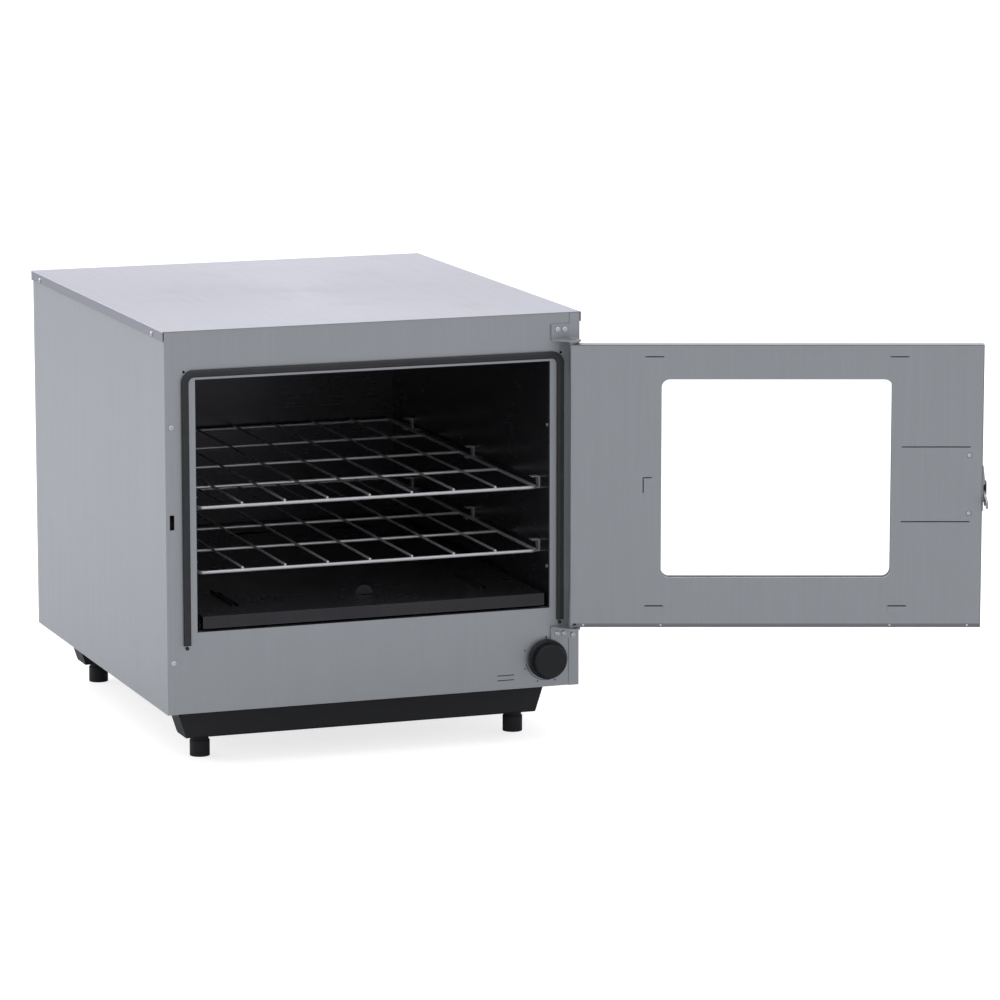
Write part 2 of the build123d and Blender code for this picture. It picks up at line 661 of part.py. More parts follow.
with BuildPart() as insulation_top:
    block(
        (-OPENING_HALF - SHEET, OPENING_HALF + SHEET),
        insulation_y,
        (OPENING_HIGH + SHEET + INSULATION_GAP, INSULATION_HIGH),
    )


def shelf_clips(side, shelf_z):
    """Three channel-shaped clips on a cavity wall; a shelf's side wire runs through them."""
    wall = side * WALL_INNER
    finger_top = shelf_z - FRAME_WIRE - CLIP_REST_GAP
    reach = sorted((wall, wall - side * CLIP_REACH))
    back = sorted((wall, wall - side * CLIP_SHEET))
    for step in (-1, 0, 1):
        y = CLIP_MIDDLE_Y + step * CLIP_PITCH
        width = (y - CLIP_WIDTH / 2, y + CLIP_WIDTH / 2)
        block(reach, width, (finger_top - CLIP_SHEET, finger_top))
        block(reach, width, (finger_top + CLIP_MOUTH, finger_top + CLIP_MOUTH + CLIP_SHEET))
        block(back, width, (finger_top - CLIP_SHEET, finger_top + CLIP_MOUTH + CLIP_SHEET))


with BuildPart() as shelf_clips_upper_left:
    shelf_clips(-1, UPPER_SHELF_Z)

with BuildPart() as shelf_clips_upper_right:
    shelf_clips(1, UPPER_SHELF_Z)

with BuildPart() as shelf_clips_lower_left:
    shelf_clips(-1, LOWER_SHELF_Z)

with BuildPart() as shelf_clips_lower_right:
    shelf_clips(1, LOWER_SHELF_Z)


def wire_shelf(shelf_z):
    """A welded wire shelf: a bent outer loop, cross wires in its plane, long wires on top."""
    with BuildLine(Plane.XY.offset(shelf_z)) as loop:
        FilletPolyline(
            (SHELF_HALF_WIDTH, -SHELF_HALF_DEPTH),
            (SHELF_HALF_WIDTH, SHELF_HALF_DEPTH),
            (-SHELF_HALF_WIDTH, SHELF_HALF_DEPTH),
            (-SHELF_HALF_WIDTH, -SHELF_HALF_DEPTH),
            radius=SHELF_CORNER,
            close=True,
        )
    with BuildSketch(Plane(origin=loop.line @ 0, z_dir=loop.line % 0)) as profile:
        Circle(FRAME_WIRE)
    sweep(profile.sketch, path=loop.line)
    for step in (-1, 0, 1):
        across = facing_right(0.0, step * SHELF_BAY_Y, shelf_z)
        pillar(across, CROSS_WIRE, -SHELF_HALF_WIDTH, SHELF_HALF_WIDTH)
    for step in range(-3, 4):
        along = facing_front(step * SHELF_BAY_X, 0.0, shelf_z + LONG_RISE)
        pillar(along, LONG_WIRE, -SHELF_HALF_DEPTH - SHEET, SHELF_HALF_DEPTH + SHEET)


with BuildPart() as upper_shelf:
    wire_shelf(UPPER_SHELF_Z)

with BuildPart() as lower_shelf:
    wire_shelf(LOWER_SHELF_Z)

with BuildPart() as baffle_deck:
    deck_under = DECK_TOP - DECK_SHEET
    block((-DECK_HALF, DECK_HALF), (DECK_FRONT_Y, DECK_REAR_Y), (deck_under, DECK_TOP))
    block((-DECK_HALF, DECK_HALF), (DECK_FRONT_Y, DECK_FRONT_Y + DECK_SHEET), (DECK_LIP_LOW, DECK_TOP))
    for side in (-1, 1):
        skirt = sorted((side * DECK_HALF, side * (DECK_HALF - DECK_SHEET)))
        block(skirt, (floor_front + 3 * SHEET, DECK_REAR_Y), (FLOOR_TOP, DECK_TOP))
    with BuildSketch(Plane.XY.offset(deck_under - SHEET)):
        with Locations((-DECK_SLOT_X, DECK_SLOT_Y), (DECK_SLOT_X, DECK_SLOT_Y)):
            SlotOverall(DECK_SLOT_LENGTH, DECK_SLOT_WIDTH, rotation=90)
        with Locations((0.0, DECK_REAR_SLOT_Y)):
            with GridLocations(DECK_REAR_SLOT_X, 0.0, 3, 1):
                SlotOverall(DECK_REAR_SLOT_LENGTH, DECK_SLOT_WIDTH * 2)
        with Locations((TAB_X, TAB_Y)):
            Circle(TAB_RADIUS)
        with Locations((TAB_X, TAB_Y + TAB_RADIUS)):
            Rectangle(TAB_RADIUS * 3, TAB_RADIUS * 2, mode=Mode.SUBTRACT)
    extrude(amount=DECK_SHEET + 2 * SHEET, mode=Mode.SUBTRACT)
    for side in (-1, 1):
        edge_x = side * DECK_SLOT_X - DECK_SLOT_WIDTH / 2 - DECK_SHEET
        slot_y = (DECK_SLOT_Y - DECK_SLOT_LENGTH / 2, DECK_SLOT_Y + DECK_SLOT_LENGTH / 2)
        block((edge_x, edge_x + DECK_SHEET), slot_y, (deck_under, DECK_TOP + LOUVER_RISE))
    with BuildSketch(facing_front(0.0, TAB_Y, 0.0)):
        with Locations((TAB_X, deck_under)):
            Circle(TAB_RADIUS)
        with Locations((TAB_X, deck_under - TAB_RADIUS)):
            Rectangle(TAB_RADIUS * 3, TAB_RADIUS * 2, mode=Mode.SUBTRACT)
    extrude(amount=-DECK_SHEET)


# ======== heating and control ===============================================================================
with BuildPart() as heating_element:
    with BuildLine() as element_path:
        FilletPolyline(
            (-ELEMENT_OUTER_X, ELEMENT_END_Y, ELEMENT_END_Z),
            (-ELEMENT_OUTER_X, ELEMENT_END_Y, ELEMENT_Z),
            (-ELEMENT_OUTER_X, ELEMENT_FRONT_Y, ELEMENT_Z),
            (-ELEMENT_INNER_X, ELEMENT_FRONT_Y, ELEMENT_Z),
            (-ELEMENT_INNER_X, ELEMENT_TURN_Y, ELEMENT_Z),
            (ELEMENT_INNER_X, ELEMENT_TURN_Y, ELEMENT_Z),
            (ELEMENT_INNER_X, ELEMENT_FRONT_Y, ELEMENT_Z),
            (ELEMENT_OUTER_X, ELEMENT_FRONT_Y, ELEMENT_Z),
            (ELEMENT_OUTER_X, ELEMENT_END_Y, ELEMENT_Z),
            (ELEMENT_OUTER_X, ELEMENT_END_Y, ELEMENT_END_Z),
            radius=ELEMENT_BEND,
        )
    with BuildSketch(Plane(origin=element_path.line @ 0, z_dir=element_path.line % 0)):
        Circle(ELEMENT_RADIUS)
    sweep(path=element_path.line)

with BuildPart() as element_brackets:
    for x in (-ELEMENT_OUTER_X, -ELEMENT_INNER_X, ELEMENT_INNER_X, ELEMENT_OUTER_X):
        post = (x - SADDLE_WIDTH / 2, x + SADDLE_WIDTH / 2)
        block(post, (0.0, SHEET), (FLOOR_TOP, ELEMENT_Z + SADDLE_WIDTH / 2))
        block(post, (0.0, SADDLE_WIDTH), (FLOOR_TOP, FLOOR_TOP + SHEET))
        pillar(facing_front(x, 0.0, ELEMENT_Z), ELEMENT_RADIUS + FIT_GAP, -2 * SHEET, SHEET, Mode.SUBTRACT)

with BuildPart() as thermostat:
    rear_face = FRAME_Y + SHEET
    for (half_x, half_z), start, end in (
        (THERMOSTAT_FLANGE, 0.0, THERMOSTAT_FLANGE_SHEET),
        (THERMOSTAT_BODY, THERMOSTAT_BODY_START, THERMOSTAT_BODY_END),
    ):
        block(
            (KNOB_X - half_x, KNOB_X + half_x),
            (rear_face + start, rear_face + end),
            (KNOB_Z - half_z, KNOB_Z + half_z),
        )
    fillet(edges().filter_by(Axis.Y).group_by(SortBy.LENGTH)[-1], ROUNDING)
    shaft_axis = facing_front(KNOB_X, rear_face, KNOB_Z)
    pillar(shaft_axis, THERMOSTAT_NECK_RADIUS, -THERMOSTAT_BODY_START - SHEET, -SHEET)
    pillar(shaft_axis, SHAFT_RADIUS + PIN_CLEARANCE, -SHAFT_DEPTH - 2 * SHEET, 2 * SHEET, Mode.SUBTRACT)
    drill(thermostat_screw_points, (0, -1, 0), HOLE)

with BuildPart() as thermostat_shaft:
    pillar(shaft_axis, SHAFT_RADIUS, -SHAFT_DEPTH, rear_face - KNOB_REAR_Y + KNOB_BORE_DEPTH)

with BuildPart() as thermostat_probe:
    probe_x = WALL_INNER - LEAD_RADIUS * 2
    with BuildLine() as capillary:
        FilletPolyline(
            (probe_x, rear_face + THERMOSTAT_BODY_END + SHEET / 2, KNOB_Z),
            (probe_x, ELEMENT_FRONT_Y, KNOB_Z),
            (probe_x, ELEMENT_FRONT_Y, PROBE_Z),
            (probe_x, PROBE_START_Y + PROBE_BEND, PROBE_Z),
            radius=PROBE_BEND,
        )
    with BuildSketch(Plane(origin=capillary.line @ 0, z_dir=capillary.line % 0)):
        Circle(SHEET)
    sweep(path=capillary.line)
    pillar(facing_front(probe_x, 0.0, PROBE_Z), PROBE_RADIUS, -PROBE_END_Y, -PROBE_START_Y)

with BuildPart() as thermostat_screws:
    screws(thermostat_screw_points, (0, -1, 0), length=4.0)

with BuildPart() as control_knob:
    with BuildSketch(Plane(origin=(KNOB_X, KNOB_REAR_Y, KNOB_Z), x_dir=(1, 0, 0), z_dir=(0, 0, -1))):
        with BuildLine():
            Polyline(
                (0.0, 0.0),
                (KNOB_SKIRT_RADIUS, 0.0),
                (KNOB_SKIRT_RADIUS, KNOB_SKIRT_DEPTH - SHEET),
                (KNOB_SKIRT_RADIUS - SHEET, KNOB_SKIRT_DEPTH),
                (KNOB_GROOVE_RADIUS, KNOB_SKIRT_DEPTH),
                (KNOB_GROOVE_RADIUS, KNOB_CAP_START),
                (KNOB_CAP_RADIUS, KNOB_CAP_START),
                (KNOB_CAP_RADIUS, KNOB_DEPTH - SHEET),
                (KNOB_CAP_RADIUS - SHEET, KNOB_DEPTH),
                (0.0, KNOB_DEPTH),
                close=True,
            )
        make_face()
    revolve(axis=Axis((KNOB_X, 0.0, KNOB_Z), (0, 1, 0)))
    with BuildSketch(facing_front(0.0, KNOB_REAR_Y, 0.0)):
        with Locations((KNOB_X, KNOB_Z)):
            with PolarLocations(KNOB_SKIRT_RADIUS + SHEET, KNOB_FLUTES):
                Circle(KNOB_FLUTE_RADIUS)
    extrude(amount=KNOB_SKIRT_DEPTH, mode=Mode.SUBTRACT)
    block(
        (KNOB_X - KNOB_POINTER_HALF, KNOB_X + KNOB_POINTER_HALF),
        (KNOB_REAR_Y - KNOB_SKIRT_DEPTH - SHEET, KNOB_REAR_Y),
        (KNOB_Z + KNOB_GROOVE_RADIUS, KNOB_Z + KNOB_SKIRT_RADIUS + SHEET),
    )
    knob_back = facing_front(KNOB_X, KNOB_REAR_Y, KNOB_Z)
    pillar(knob_back, KNOB_HOLLOW_RADIUS, -SHEET, KNOB_HOLLOW_DEPTH, Mode.SUBTRACT)
    pillar(knob_back, KNOB_SKIRT_DEPTH, 0.0, 2 * KNOB_HOLLOW_DEPTH)
    pillar(knob_back, SHAFT_RADIUS, -SHEET, KNOB_BORE_DEPTH, Mode.SUBTRACT)

with BuildPart() as limit_thermostat:
    disc = facing_up(LIMIT_X, LIMIT_Y, FLOOR_TOP - SHEET)
    pillar(disc, LIMIT_RADIUS, -LIMIT_DEPTH, 0.0)
    block(
        (LIMIT_X - LIMIT_EAR_HALF, LIMIT_X + LIMIT_EAR_HALF),
        (LIMIT_Y - LIMIT_EAR_WIDTH, LIMIT_Y + LIMIT_EAR_WIDTH),
        (FLOOR_TOP - 2 * SHEET, FLOOR_TOP - SHEET),
    )
    for x in (LIMIT_X - LIMIT_TAB_X, LIMIT_X + LIMIT_TAB_X):
        tab_top = FLOOR_TOP - LIMIT_DEPTH
        block(
            (x - LIMIT_TAB[0], x + LIMIT_TAB[0]),
            (LIMIT_Y - LIMIT_TAB[1], LIMIT_Y + LIMIT_TAB[1]),
            (tab_top - LIMIT_TAB[2], tab_top),
        )

with BuildPart() as terminal_block:
    base = BODY_Z + SHEET
    half_x, half_y = TERMINAL_HALF
    block(
        (TERMINAL_X - half_x, TERMINAL_X + half_x),
        (TERMINAL_Y - half_y, TERMINAL_Y + half_y),
        (base, base + TERMINAL_HEIGHT),
    )
    for step_y in ((-half_y, -TERMINAL_STEP_Y), (TERMINAL_STEP_Y, half_y)):
        block(
            (TERMINAL_X - TERMINAL_STEP_HALF, TERMINAL_X + TERMINAL_STEP_HALF),
            (TERMINAL_Y + step_y[0], TERMINAL_Y + step_y[1]),
            (base + TERMINAL_STEP_Z, base + TERMINAL_HEIGHT + SHEET),
            Mode.SUBTRACT,
        )
    for way in range(TERMINAL_WAYS):
        x = TERMINAL_X + (way - (TERMINAL_WAYS - 1) / 2) * TERMINAL_PITCH
        well = facing_up(x, TERMINAL_Y, base)
        pillar(well, TERMINAL_HOLE, TERMINAL_HOLE_Z, TERMINAL_HEIGHT + SHEET, Mode.SUBTRACT)

with BuildPart() as internal_leads:
    lead_end_y = TERMINAL_Y + TERMINAL_HALF[1] + TERMINAL_STEP_Y
    for side, run_y in ((-1, ELEMENT_END_Y), (1, ELEMENT_END_Y + LEAD_STAGGER)):
        start_x = side * ELEMENT_OUTER_X
        end_x = TERMINAL_X + (side + 1) * TERMINAL_PITCH / 2
        with BuildLine() as lead:
            FilletPolyline(
                (start_x, ELEMENT_END_Y, ELEMENT_END_Z - SHEET),
                (start_x, ELEMENT_END_Y, LEAD_Z),
                (end_x, run_y, LEAD_Z),
                (end_x, lead_end_y, LEAD_Z),
                (end_x, lead_end_y, BODY_Z + 2 * LEAD_BEND),
                radius=LEAD_BEND,
            )
        with BuildSketch(Plane(origin=lead.line @ 0, z_dir=lead.line % 0)):
            Circle(LEAD_RADIUS)
        sweep(path=lead.line)

with BuildPart() as cable_gland:
    gland_axis = Plane(origin=(GLAND_X, REAR_Y + SHEET, GLAND_Z), z_dir=(0, 1, 0))
    pillar(gland_axis, GLAND_THREAD, -GLAND_INSIDE, 0.0)
    for start, end in ((-GLAND_NUT_HEIGHT, -SHEET), (0.0, GLAND_NUT_HEIGHT)):
        with BuildSketch(gland_axis.offset(start)):
            RegularPolygon(GLAND_NUT, 6)
        extrude(amount=end - start)
    pillar(gland_axis, GLAND_CAP_RADIUS, GLAND_NUT_HEIGHT, GLAND_CAP_END)
    fillet(edges().filter_by(GeomType.CIRCLE).sort_by(Axis.Y)[-1], ROUNDING)
    pillar(gland_axis, GLAND_BORE, -GLAND_INSIDE - SHEET, GLAND_CAP_END + SHEET, Mode.SUBTRACT)


# ======== gasket and hinges =================================================================================
with BuildPart() as door_gasket:
    tall = GASKET_HIGH - GASKET_LOW
    with BuildSketch(facing_front(0.0, FRAME_Y, 0.0)):
        with Locations((0.0, GASKET_LOW + tall / 2)):
            RectangleRounded(2 * GASKET_HALF, tall, GASKET_CORNER)
        with Locations((0.0, GASKET_LOW + tall / 4)):
            Rectangle(2 * GASKET_HALF, tall / 2)
        with Locations((0.0, GASKET_LOW + tall / 2 - 2 * GASKET_WIDTH)):
            RectangleRounded(
                2 * GASKET_HALF - 2 * GASKET_WIDTH,
                tall + 2 * GASKET_WIDTH,
                GASKET_CORNER - GASKET_WIDTH,
                mode=Mode.SUBTRACT,
            )
        with Locations((0.0, GASKET_LOW)):
            Rectangle(2 * GASKET_HALF - 2 * GASKET_WIDTH, tall / 2, mode=Mode.SUBTRACT)
    extrude(amount=GASKET_HEIGHT)
    fillet(faces().sort_by(Axis.Y)[0].edges(), GASKET_HEIGHT / 2)

with BuildPart() as gasket_end_pins:
    for x, y, z in gasket_pin_points:
        seat = Plane(origin=(x, y, z), z_dir=(0, -1, 0))
        pillar(seat, SCREW_HEAD - SHEET, 0.0, 2 * SHEET)
        pillar(seat, SCREW_SHANK, -4 * SHEET, 0.0)


def hinge_bracket(leaf_low, upright_low, upright_high, points):
    """An angle bracket: a rounded leaf carrying the pin and an upright screwed to the frame."""
    with BuildSketch(Plane.XY.offset(leaf_low)) as profile:
        with Locations((PIN_X, PIN_Y)):
            Circle(LEAF_RADIUS)
        with Locations((PIN_X, (PIN_Y + FRONT_Y - FIT_GAP) / 2)):
            Rectangle(2 * LEAF_RADIUS, FRONT_Y - FIT_GAP - PIN_Y)
        with BuildLine():
            Polyline(
                (LEAF_LEFT, FRAME_Y),
                (LEAF_LEFT, FRONT_Y - LEAF),
                (PIN_X - LEAF_RADIUS * LEAF_CHAMFER[0], PIN_Y - LEAF_RADIUS * LEAF_CHAMFER[1]),
                (LEAF_RIGHT, PIN_Y),
                (LEAF_RIGHT, FRAME_Y),
                close=True,
            )
        make_face()
    extrude(profile.sketch, amount=LEAF)
    block((LEAF_LEFT, LEAF_RIGHT), (FRAME_Y - LEAF, FRAME_Y), (upright_low, upright_high))
    drill(points, (0, -1, 0), HOLE)
    pillar(facing_up(PIN_X, PIN_Y, leaf_low), PIN_RADIUS, -LEAF, 2 * LEAF, Mode.SUBTRACT)


with BuildPart() as hinge_bracket_top:
    hinge_bracket(TOP_LEAF_LOW, TOP_LEAF_LOW, TOP_LEAF_SCREW_Z + UPRIGHT_MARGIN, top_hinge_points)

with BuildPart() as hinge_bracket_bottom:
    upright_low = BOTTOM_LEAF_SCREW_Z - UPRIGHT_MARGIN
    hinge_bracket(BOTTOM_LEAF_HIGH - LEAF, upright_low, BOTTOM_LEAF_HIGH, bottom_hinge_points)

with BuildPart() as hinge_pins:
    pin_foot = facing_up(PIN_X, PIN_Y, 0.0)
    pillar(pin_foot, PIN_RADIUS, TOP_KNUCKLE_LOW + PIN_INSET, TOP_LEAF_LOW + LEAF)
    pillar(pin_foot, PIN_HEAD * PIN_RADIUS, TOP_LEAF_LOW + LEAF, TOP_LEAF_LOW + 2 * LEAF)
    pillar(pin_foot, PIN_RADIUS, BOTTOM_LEAF_HIGH - LEAF, BOTTOM_KNUCKLE_HIGH - PIN_INSET)
    pillar(pin_foot, PIN_HEAD * PIN_RADIUS, BOTTOM_LEAF_HIGH - 2 * LEAF, BOTTOM_LEAF_HIGH - LEAF)

with BuildPart() as hinge_screws:
    screws(top_hinge_points + bottom_hinge_points, (0, -1, 0), length=SCREW_LENGTH + LEAF - SHEET / 2)


# ======== door ==============================================================================================
knuckle_corner = (DOOR_HINGE_EDGE - SHEET, KNUCKLE_RADIUS + NOTCH_GAP)
knuckle_depth = (DOOR_INNER + SHEET + FIT_GAP, DOOR_OUTER - 2 * SHEET)


def clear_knuckles():
    """Cut away the two hinge corners of the pan so that the knuckles can turn there."""
    block(knuckle_corner, knuckle_depth, (TOP_KNUCKLE_LOW - 2 * SHEET, DOOR_HIGH + SHEET), Mode.SUBTRACT)
    block(knuckle_corner, knuckle_depth, (DOOR_LOW - SHEET, BOTTOM_KNUCKLE_HIGH + 2 * SHEET), Mode.SUBTRACT)


def window(start, end, margin, mode):
    """The rounded window shape through part of the door's thickness, grown by a margin."""
    with BuildSketch(DOOR_FACE.offset(start)) as profile:
        with Locations((DOOR_MIDDLE, WINDOW_Z)):
            RectangleRounded(
                2 * (WINDOW_HALF + margin),
                WINDOW_HIGH - WINDOW_LOW + 2 * margin,
                WINDOW_CORNER + margin,
            )
    extrude(profile.sketch, amount=end - start, mode=mode)


band_depth = (DOOR_INNER + SHEET + FIT_GAP, DOOR_INNER + 2 * SHEET + FIT_GAP)
band_rivet_points = [
    DOOR.from_local_coords((DOOR_MIDDLE + offset, band_depth[0], (DOOR_LOW + SHEET + SKIN_LOW) / 2))
    for offset in BAND_RIVET_OFFSETS
]

with BuildPart(DOOR) as door_outer_pan:
    block((DOOR_HINGE_EDGE, DOOR_FREE_EDGE), (DOOR_INNER, DOOR_OUTER), (DOOR_LOW, DOOR_HIGH))
    fillet(edges().filter_by(Axis.Z), SHEET)
    block(
        (DOOR_HINGE_EDGE + SHEET, DOOR_FREE_EDGE - SHEET),
        (DOOR_INNER - SHEET, DOOR_OUTER - SHEET),
        (DOOR_LOW + SHEET, DOOR_HIGH - SHEET),
        Mode.SUBTRACT,
    )
    block((DOOR_HINGE_EDGE + SHEET, DOOR_FREE_EDGE - SHEET), band_depth, (DOOR_LOW + SHEET, SKIN_LOW + BAND_LAP))
    clear_knuckles()
    drill(band_rivet_points, -DOOR.y_dir, HOLE / 2)
    window(-DOOR_OUTER, -DOOR_OUTER + WINDOW_FLANGE + 2 * SHEET, SHEET, Mode.ADD)
    window(-DOOR_OUTER - SHEET, -DOOR_INNER, 0.0, Mode.SUBTRACT)
    drill_plane = Plane(origin=DOOR.from_local_coords((DOOR_FREE_EDGE, 0.0, LATCH_Z)), z_dir=DOOR.x_dir)
    pillar(drill_plane, PIVOT_RADIUS, -3 * SHEET, SHEET, Mode.SUBTRACT)

with BuildPart(DOOR) as door_inner_skin:
    skin_edge = SHEET + FIT_GAP
    block(
        (DOOR_HINGE_EDGE + skin_edge, DOOR_FREE_EDGE - skin_edge),
        (DOOR_INNER, DOOR_INNER + SHEET),
        (SKIN_LOW, DOOR_HIGH - skin_edge),
    )
    window(-DOOR_INNER - WINDOW_FLANGE, -DOOR_INNER, SHEET, Mode.ADD)
    window(-DOOR_OUTER, -DOOR_INNER + SHEET, 0.0, Mode.SUBTRACT)
    through = (DOOR_INNER - SHEET, DOOR_INNER + 2 * SHEET)
    for offset in (-SLOT_OFFSET, SLOT_OFFSET):
        slot = (DOOR_MIDDLE + offset - SLOT_LENGTH / 2, DOOR_MIDDLE + offset + SLOT_LENGTH / 2)
        block(slot, through, (TOP_SLOT_Z - SLOT / 2, TOP_SLOT_Z + SLOT / 2), Mode.SUBTRACT)
        block(slot, through, (FOLD_Z - SLOT / 2, FOLD_Z + SLOT / 2), Mode.SUBTRACT)
        block(slot, (DOOR_INNER - PAD_RISE, DOOR_INNER), (FOLD_Z - SLOT / 2 - PAD_HEIGHT, FOLD_Z - SLOT / 2))
    block(
        (SIDE_SLOT_START, SIDE_SLOT_START + SIDE_SLOT_WIDTH),
        through,
        (SIDE_SLOT_HIGH - SLOT, SIDE_SLOT_HIGH),
        Mode.SUBTRACT,
    )
    block(
        (SIDE_SLOT_START, SIDE_SLOT_START + SLOT),
        through,
        (SIDE_SLOT_HIGH - SIDE_SLOT_HEIGHT, SIDE_SLOT_HIGH - SLOT / 2),
        Mode.SUBTRACT,
    )
    for z in (LATCH_SLIT_LOW, LATCH_SLIT_HIGH):
        block((LATCH_SLIT_START, LATCH_SLIT_END), through, (z - SLOT / 2, z + SLOT / 2), Mode.SUBTRACT)
    for z in (LATCH_SLIT_LOW + LATCH_SCREW_INSET, LATCH_SLIT_HIGH - LATCH_SCREW_INSET):
        spot = Plane(origin=DOOR.from_local_coords((LATCH_SCREW_U, DOOR_INNER, z)), z_dir=-DOOR.y_dir)
        pillar(spot, DIMPLE_RADIUS + SHEET, -DIMPLE_DEPTH - SHEET, 0.0)
        pillar(spot, DIMPLE_RADIUS, -DIMPLE_DEPTH, SHEET, Mode.SUBTRACT)
        pillar(spot, HOLE, -DIMPLE_DEPTH - 2 * SHEET, 0.0, Mode.SUBTRACT)

with BuildPart(DOOR) as door_glass:
    block(
        (DOOR_MIDDLE - GLASS_HALF, DOOR_MIDDLE + GLASS_HALF),
        (GLASS_Y, GLASS_Y + GLASS_THICKNESS),
        (GLASS_LOW, GLASS_HIGH),
    )
    fillet(edges().filter_by(Axis((0, 0, 0), DOOR.y_dir)), GLASS_THICKNESS)

with BuildPart(DOOR) as glass_clips:
    clip_face = DOOR_INNER + SHEET
    clip_depth = (clip_face, GLASS_Y + GLASS_THICKNESS + 2 * SHEET)
    for offset in (-SLOT_OFFSET, SLOT_OFFSET):
        width = (DOOR_MIDDLE + offset - SLOT_LENGTH / 2, DOOR_MIDDLE + offset + SLOT_LENGTH / 2)
        for base_z, tip_z in (
            (TOP_SLOT_Z - SLOT, GLASS_HIGH + SHEET),
            (FOLD_Z + PAD_HEIGHT, GLASS_LOW - SHEET),
        ):
            low, high = sorted((base_z, tip_z))
            block(width, (clip_face, clip_face + SHEET), (low, high))
            inner = sorted((tip_z, tip_z + (SHEET if base_z > tip_z else -SHEET)))
            block(width, clip_depth, inner)
            lip = sorted((tip_z, tip_z + (-GLASS_CLIP_LIP if base_z > tip_z else GLASS_CLIP_LIP)))
            block(width, (clip_depth[1] - SHEET, clip_depth[1]), lip)

with BuildPart(DOOR) as door_knuckles:
    weld = (DOOR_OUTER - 2 * SHEET, DOOR_OUTER - SHEET)
    for low, high, plate_low, plate_high in (
        (TOP_KNUCKLE_LOW, TOP_LEAF_LOW - FIT_GAP, TOP_KNUCKLE_LOW, DOOR_HIGH - 3 * SHEET),
        (BOTTOM_LEAF_HIGH + FIT_GAP, BOTTOM_KNUCKLE_HIGH, DOOR_LOW + 3 * SHEET, BOTTOM_KNUCKLE_HIGH),
    ):
        pillar(DOOR, KNUCKLE_RADIUS, low, high)
        block((0.0, 2 * KNUCKLE_RADIUS), (KNUCKLE_RADIUS - SHEET, weld[1]), (plate_low, plate_high))
        block((SHEET, KNUCKLE_PLATE), weld, (plate_low, plate_high))
        pillar(DOOR, PIN_RADIUS + PIN_CLEARANCE, low - SHEET, high + SHEET, Mode.SUBTRACT)


# ======== latch =============================================================================================
end_start = DOOR_FREE_EDGE
pivot_head = LEVER_START + LEVER_THICKNESS - end_start + FIT_GAP


def outline(points, shift=0.0):
    """A closed face through outline points, raised to the lever's pivot."""
    with BuildLine() as rim:
        Polyline(*[(across + shift, LATCH_Z + up) for across, up in points], close=True)
    make_face(rim.edges())


with BuildPart(DOOR) as latch_bracket:
    with BuildSketch(DOOR_FACE.offset(BRACKET_START)):
        outline(BRACKET_OUTLINE, end_start)
    extrude(amount=BRACKET_DEPTH)
    pillar(drill_plane, PIVOT_RADIUS, -SHEET, 3 * SHEET, Mode.SUBTRACT)

with BuildPart(DOOR) as latch_lever:
    with BuildSketch(DOOR_END.offset(LEVER_START)):
        with Locations((0.0, LATCH_Z)):
            Circle(LEVER_HUB)
        outline(HOOK_OUTLINE)
        outline(ARM_OUTLINE)
    extrude(amount=LEVER_THICKNESS)
    pillar(drill_plane, PIVOT_RADIUS + PIN_CLEARANCE, -3 * SHEET, 4 * SHEET + LEVER_THICKNESS, Mode.SUBTRACT)

with BuildPart(DOOR) as latch_grip:
    with BuildSketch(DOOR_END.offset(LEVER_START - GRIP_OVERHANG)):
        with Locations((GRIP_Y, GRIP_Z)):
            RectangleRounded(GRIP_THICKNESS, GRIP_HEIGHT, GRIP_ROUNDING)
    extrude(amount=GRIP_OVERHANG + LEVER_THICKNESS + GRIP_CAP)
    fillet(edges().filter_by(GeomType.CIRCLE), GRIP_EDGE)
    with BuildSketch(DOOR_END.offset(LEVER_START)):
        outline(ARM_OUTLINE)
    extrude(amount=LEVER_THICKNESS, mode=Mode.SUBTRACT)

with BuildPart(DOOR) as latch_pivot:
    pillar(drill_plane, PIVOT_RADIUS, -2 * SHEET, pivot_head)
    pillar(drill_plane, 2 * PIVOT_RADIUS, pivot_head, pivot_head + SHEET)

with BuildPart(DOOR) as door_screws:
    door_screw_points = [
        DOOR.from_local_coords((LATCH_SCREW_U, DOOR_INNER + DIMPLE_DEPTH, z))
        for z in (LATCH_SLIT_LOW + LATCH_SCREW_INSET, LATCH_SLIT_HIGH - LATCH_SCREW_INSET)
    ]
    screws(door_screw_points, -DOOR.y_dir, length=4.0, head=DOOR_SCREW_HEAD, height=DOOR_SCREW_HEIGHT)
    for point in band_rivet_points:
        rivet = Plane(origin=point, z_dir=-DOOR.y_dir)
        pillar(rivet, BAND_RIVET_HEAD, 0.0, SHEET)
        pillar(rivet, HOLE / 2 - FIT_GAP / 2, -2 * SHEET, 0.0)


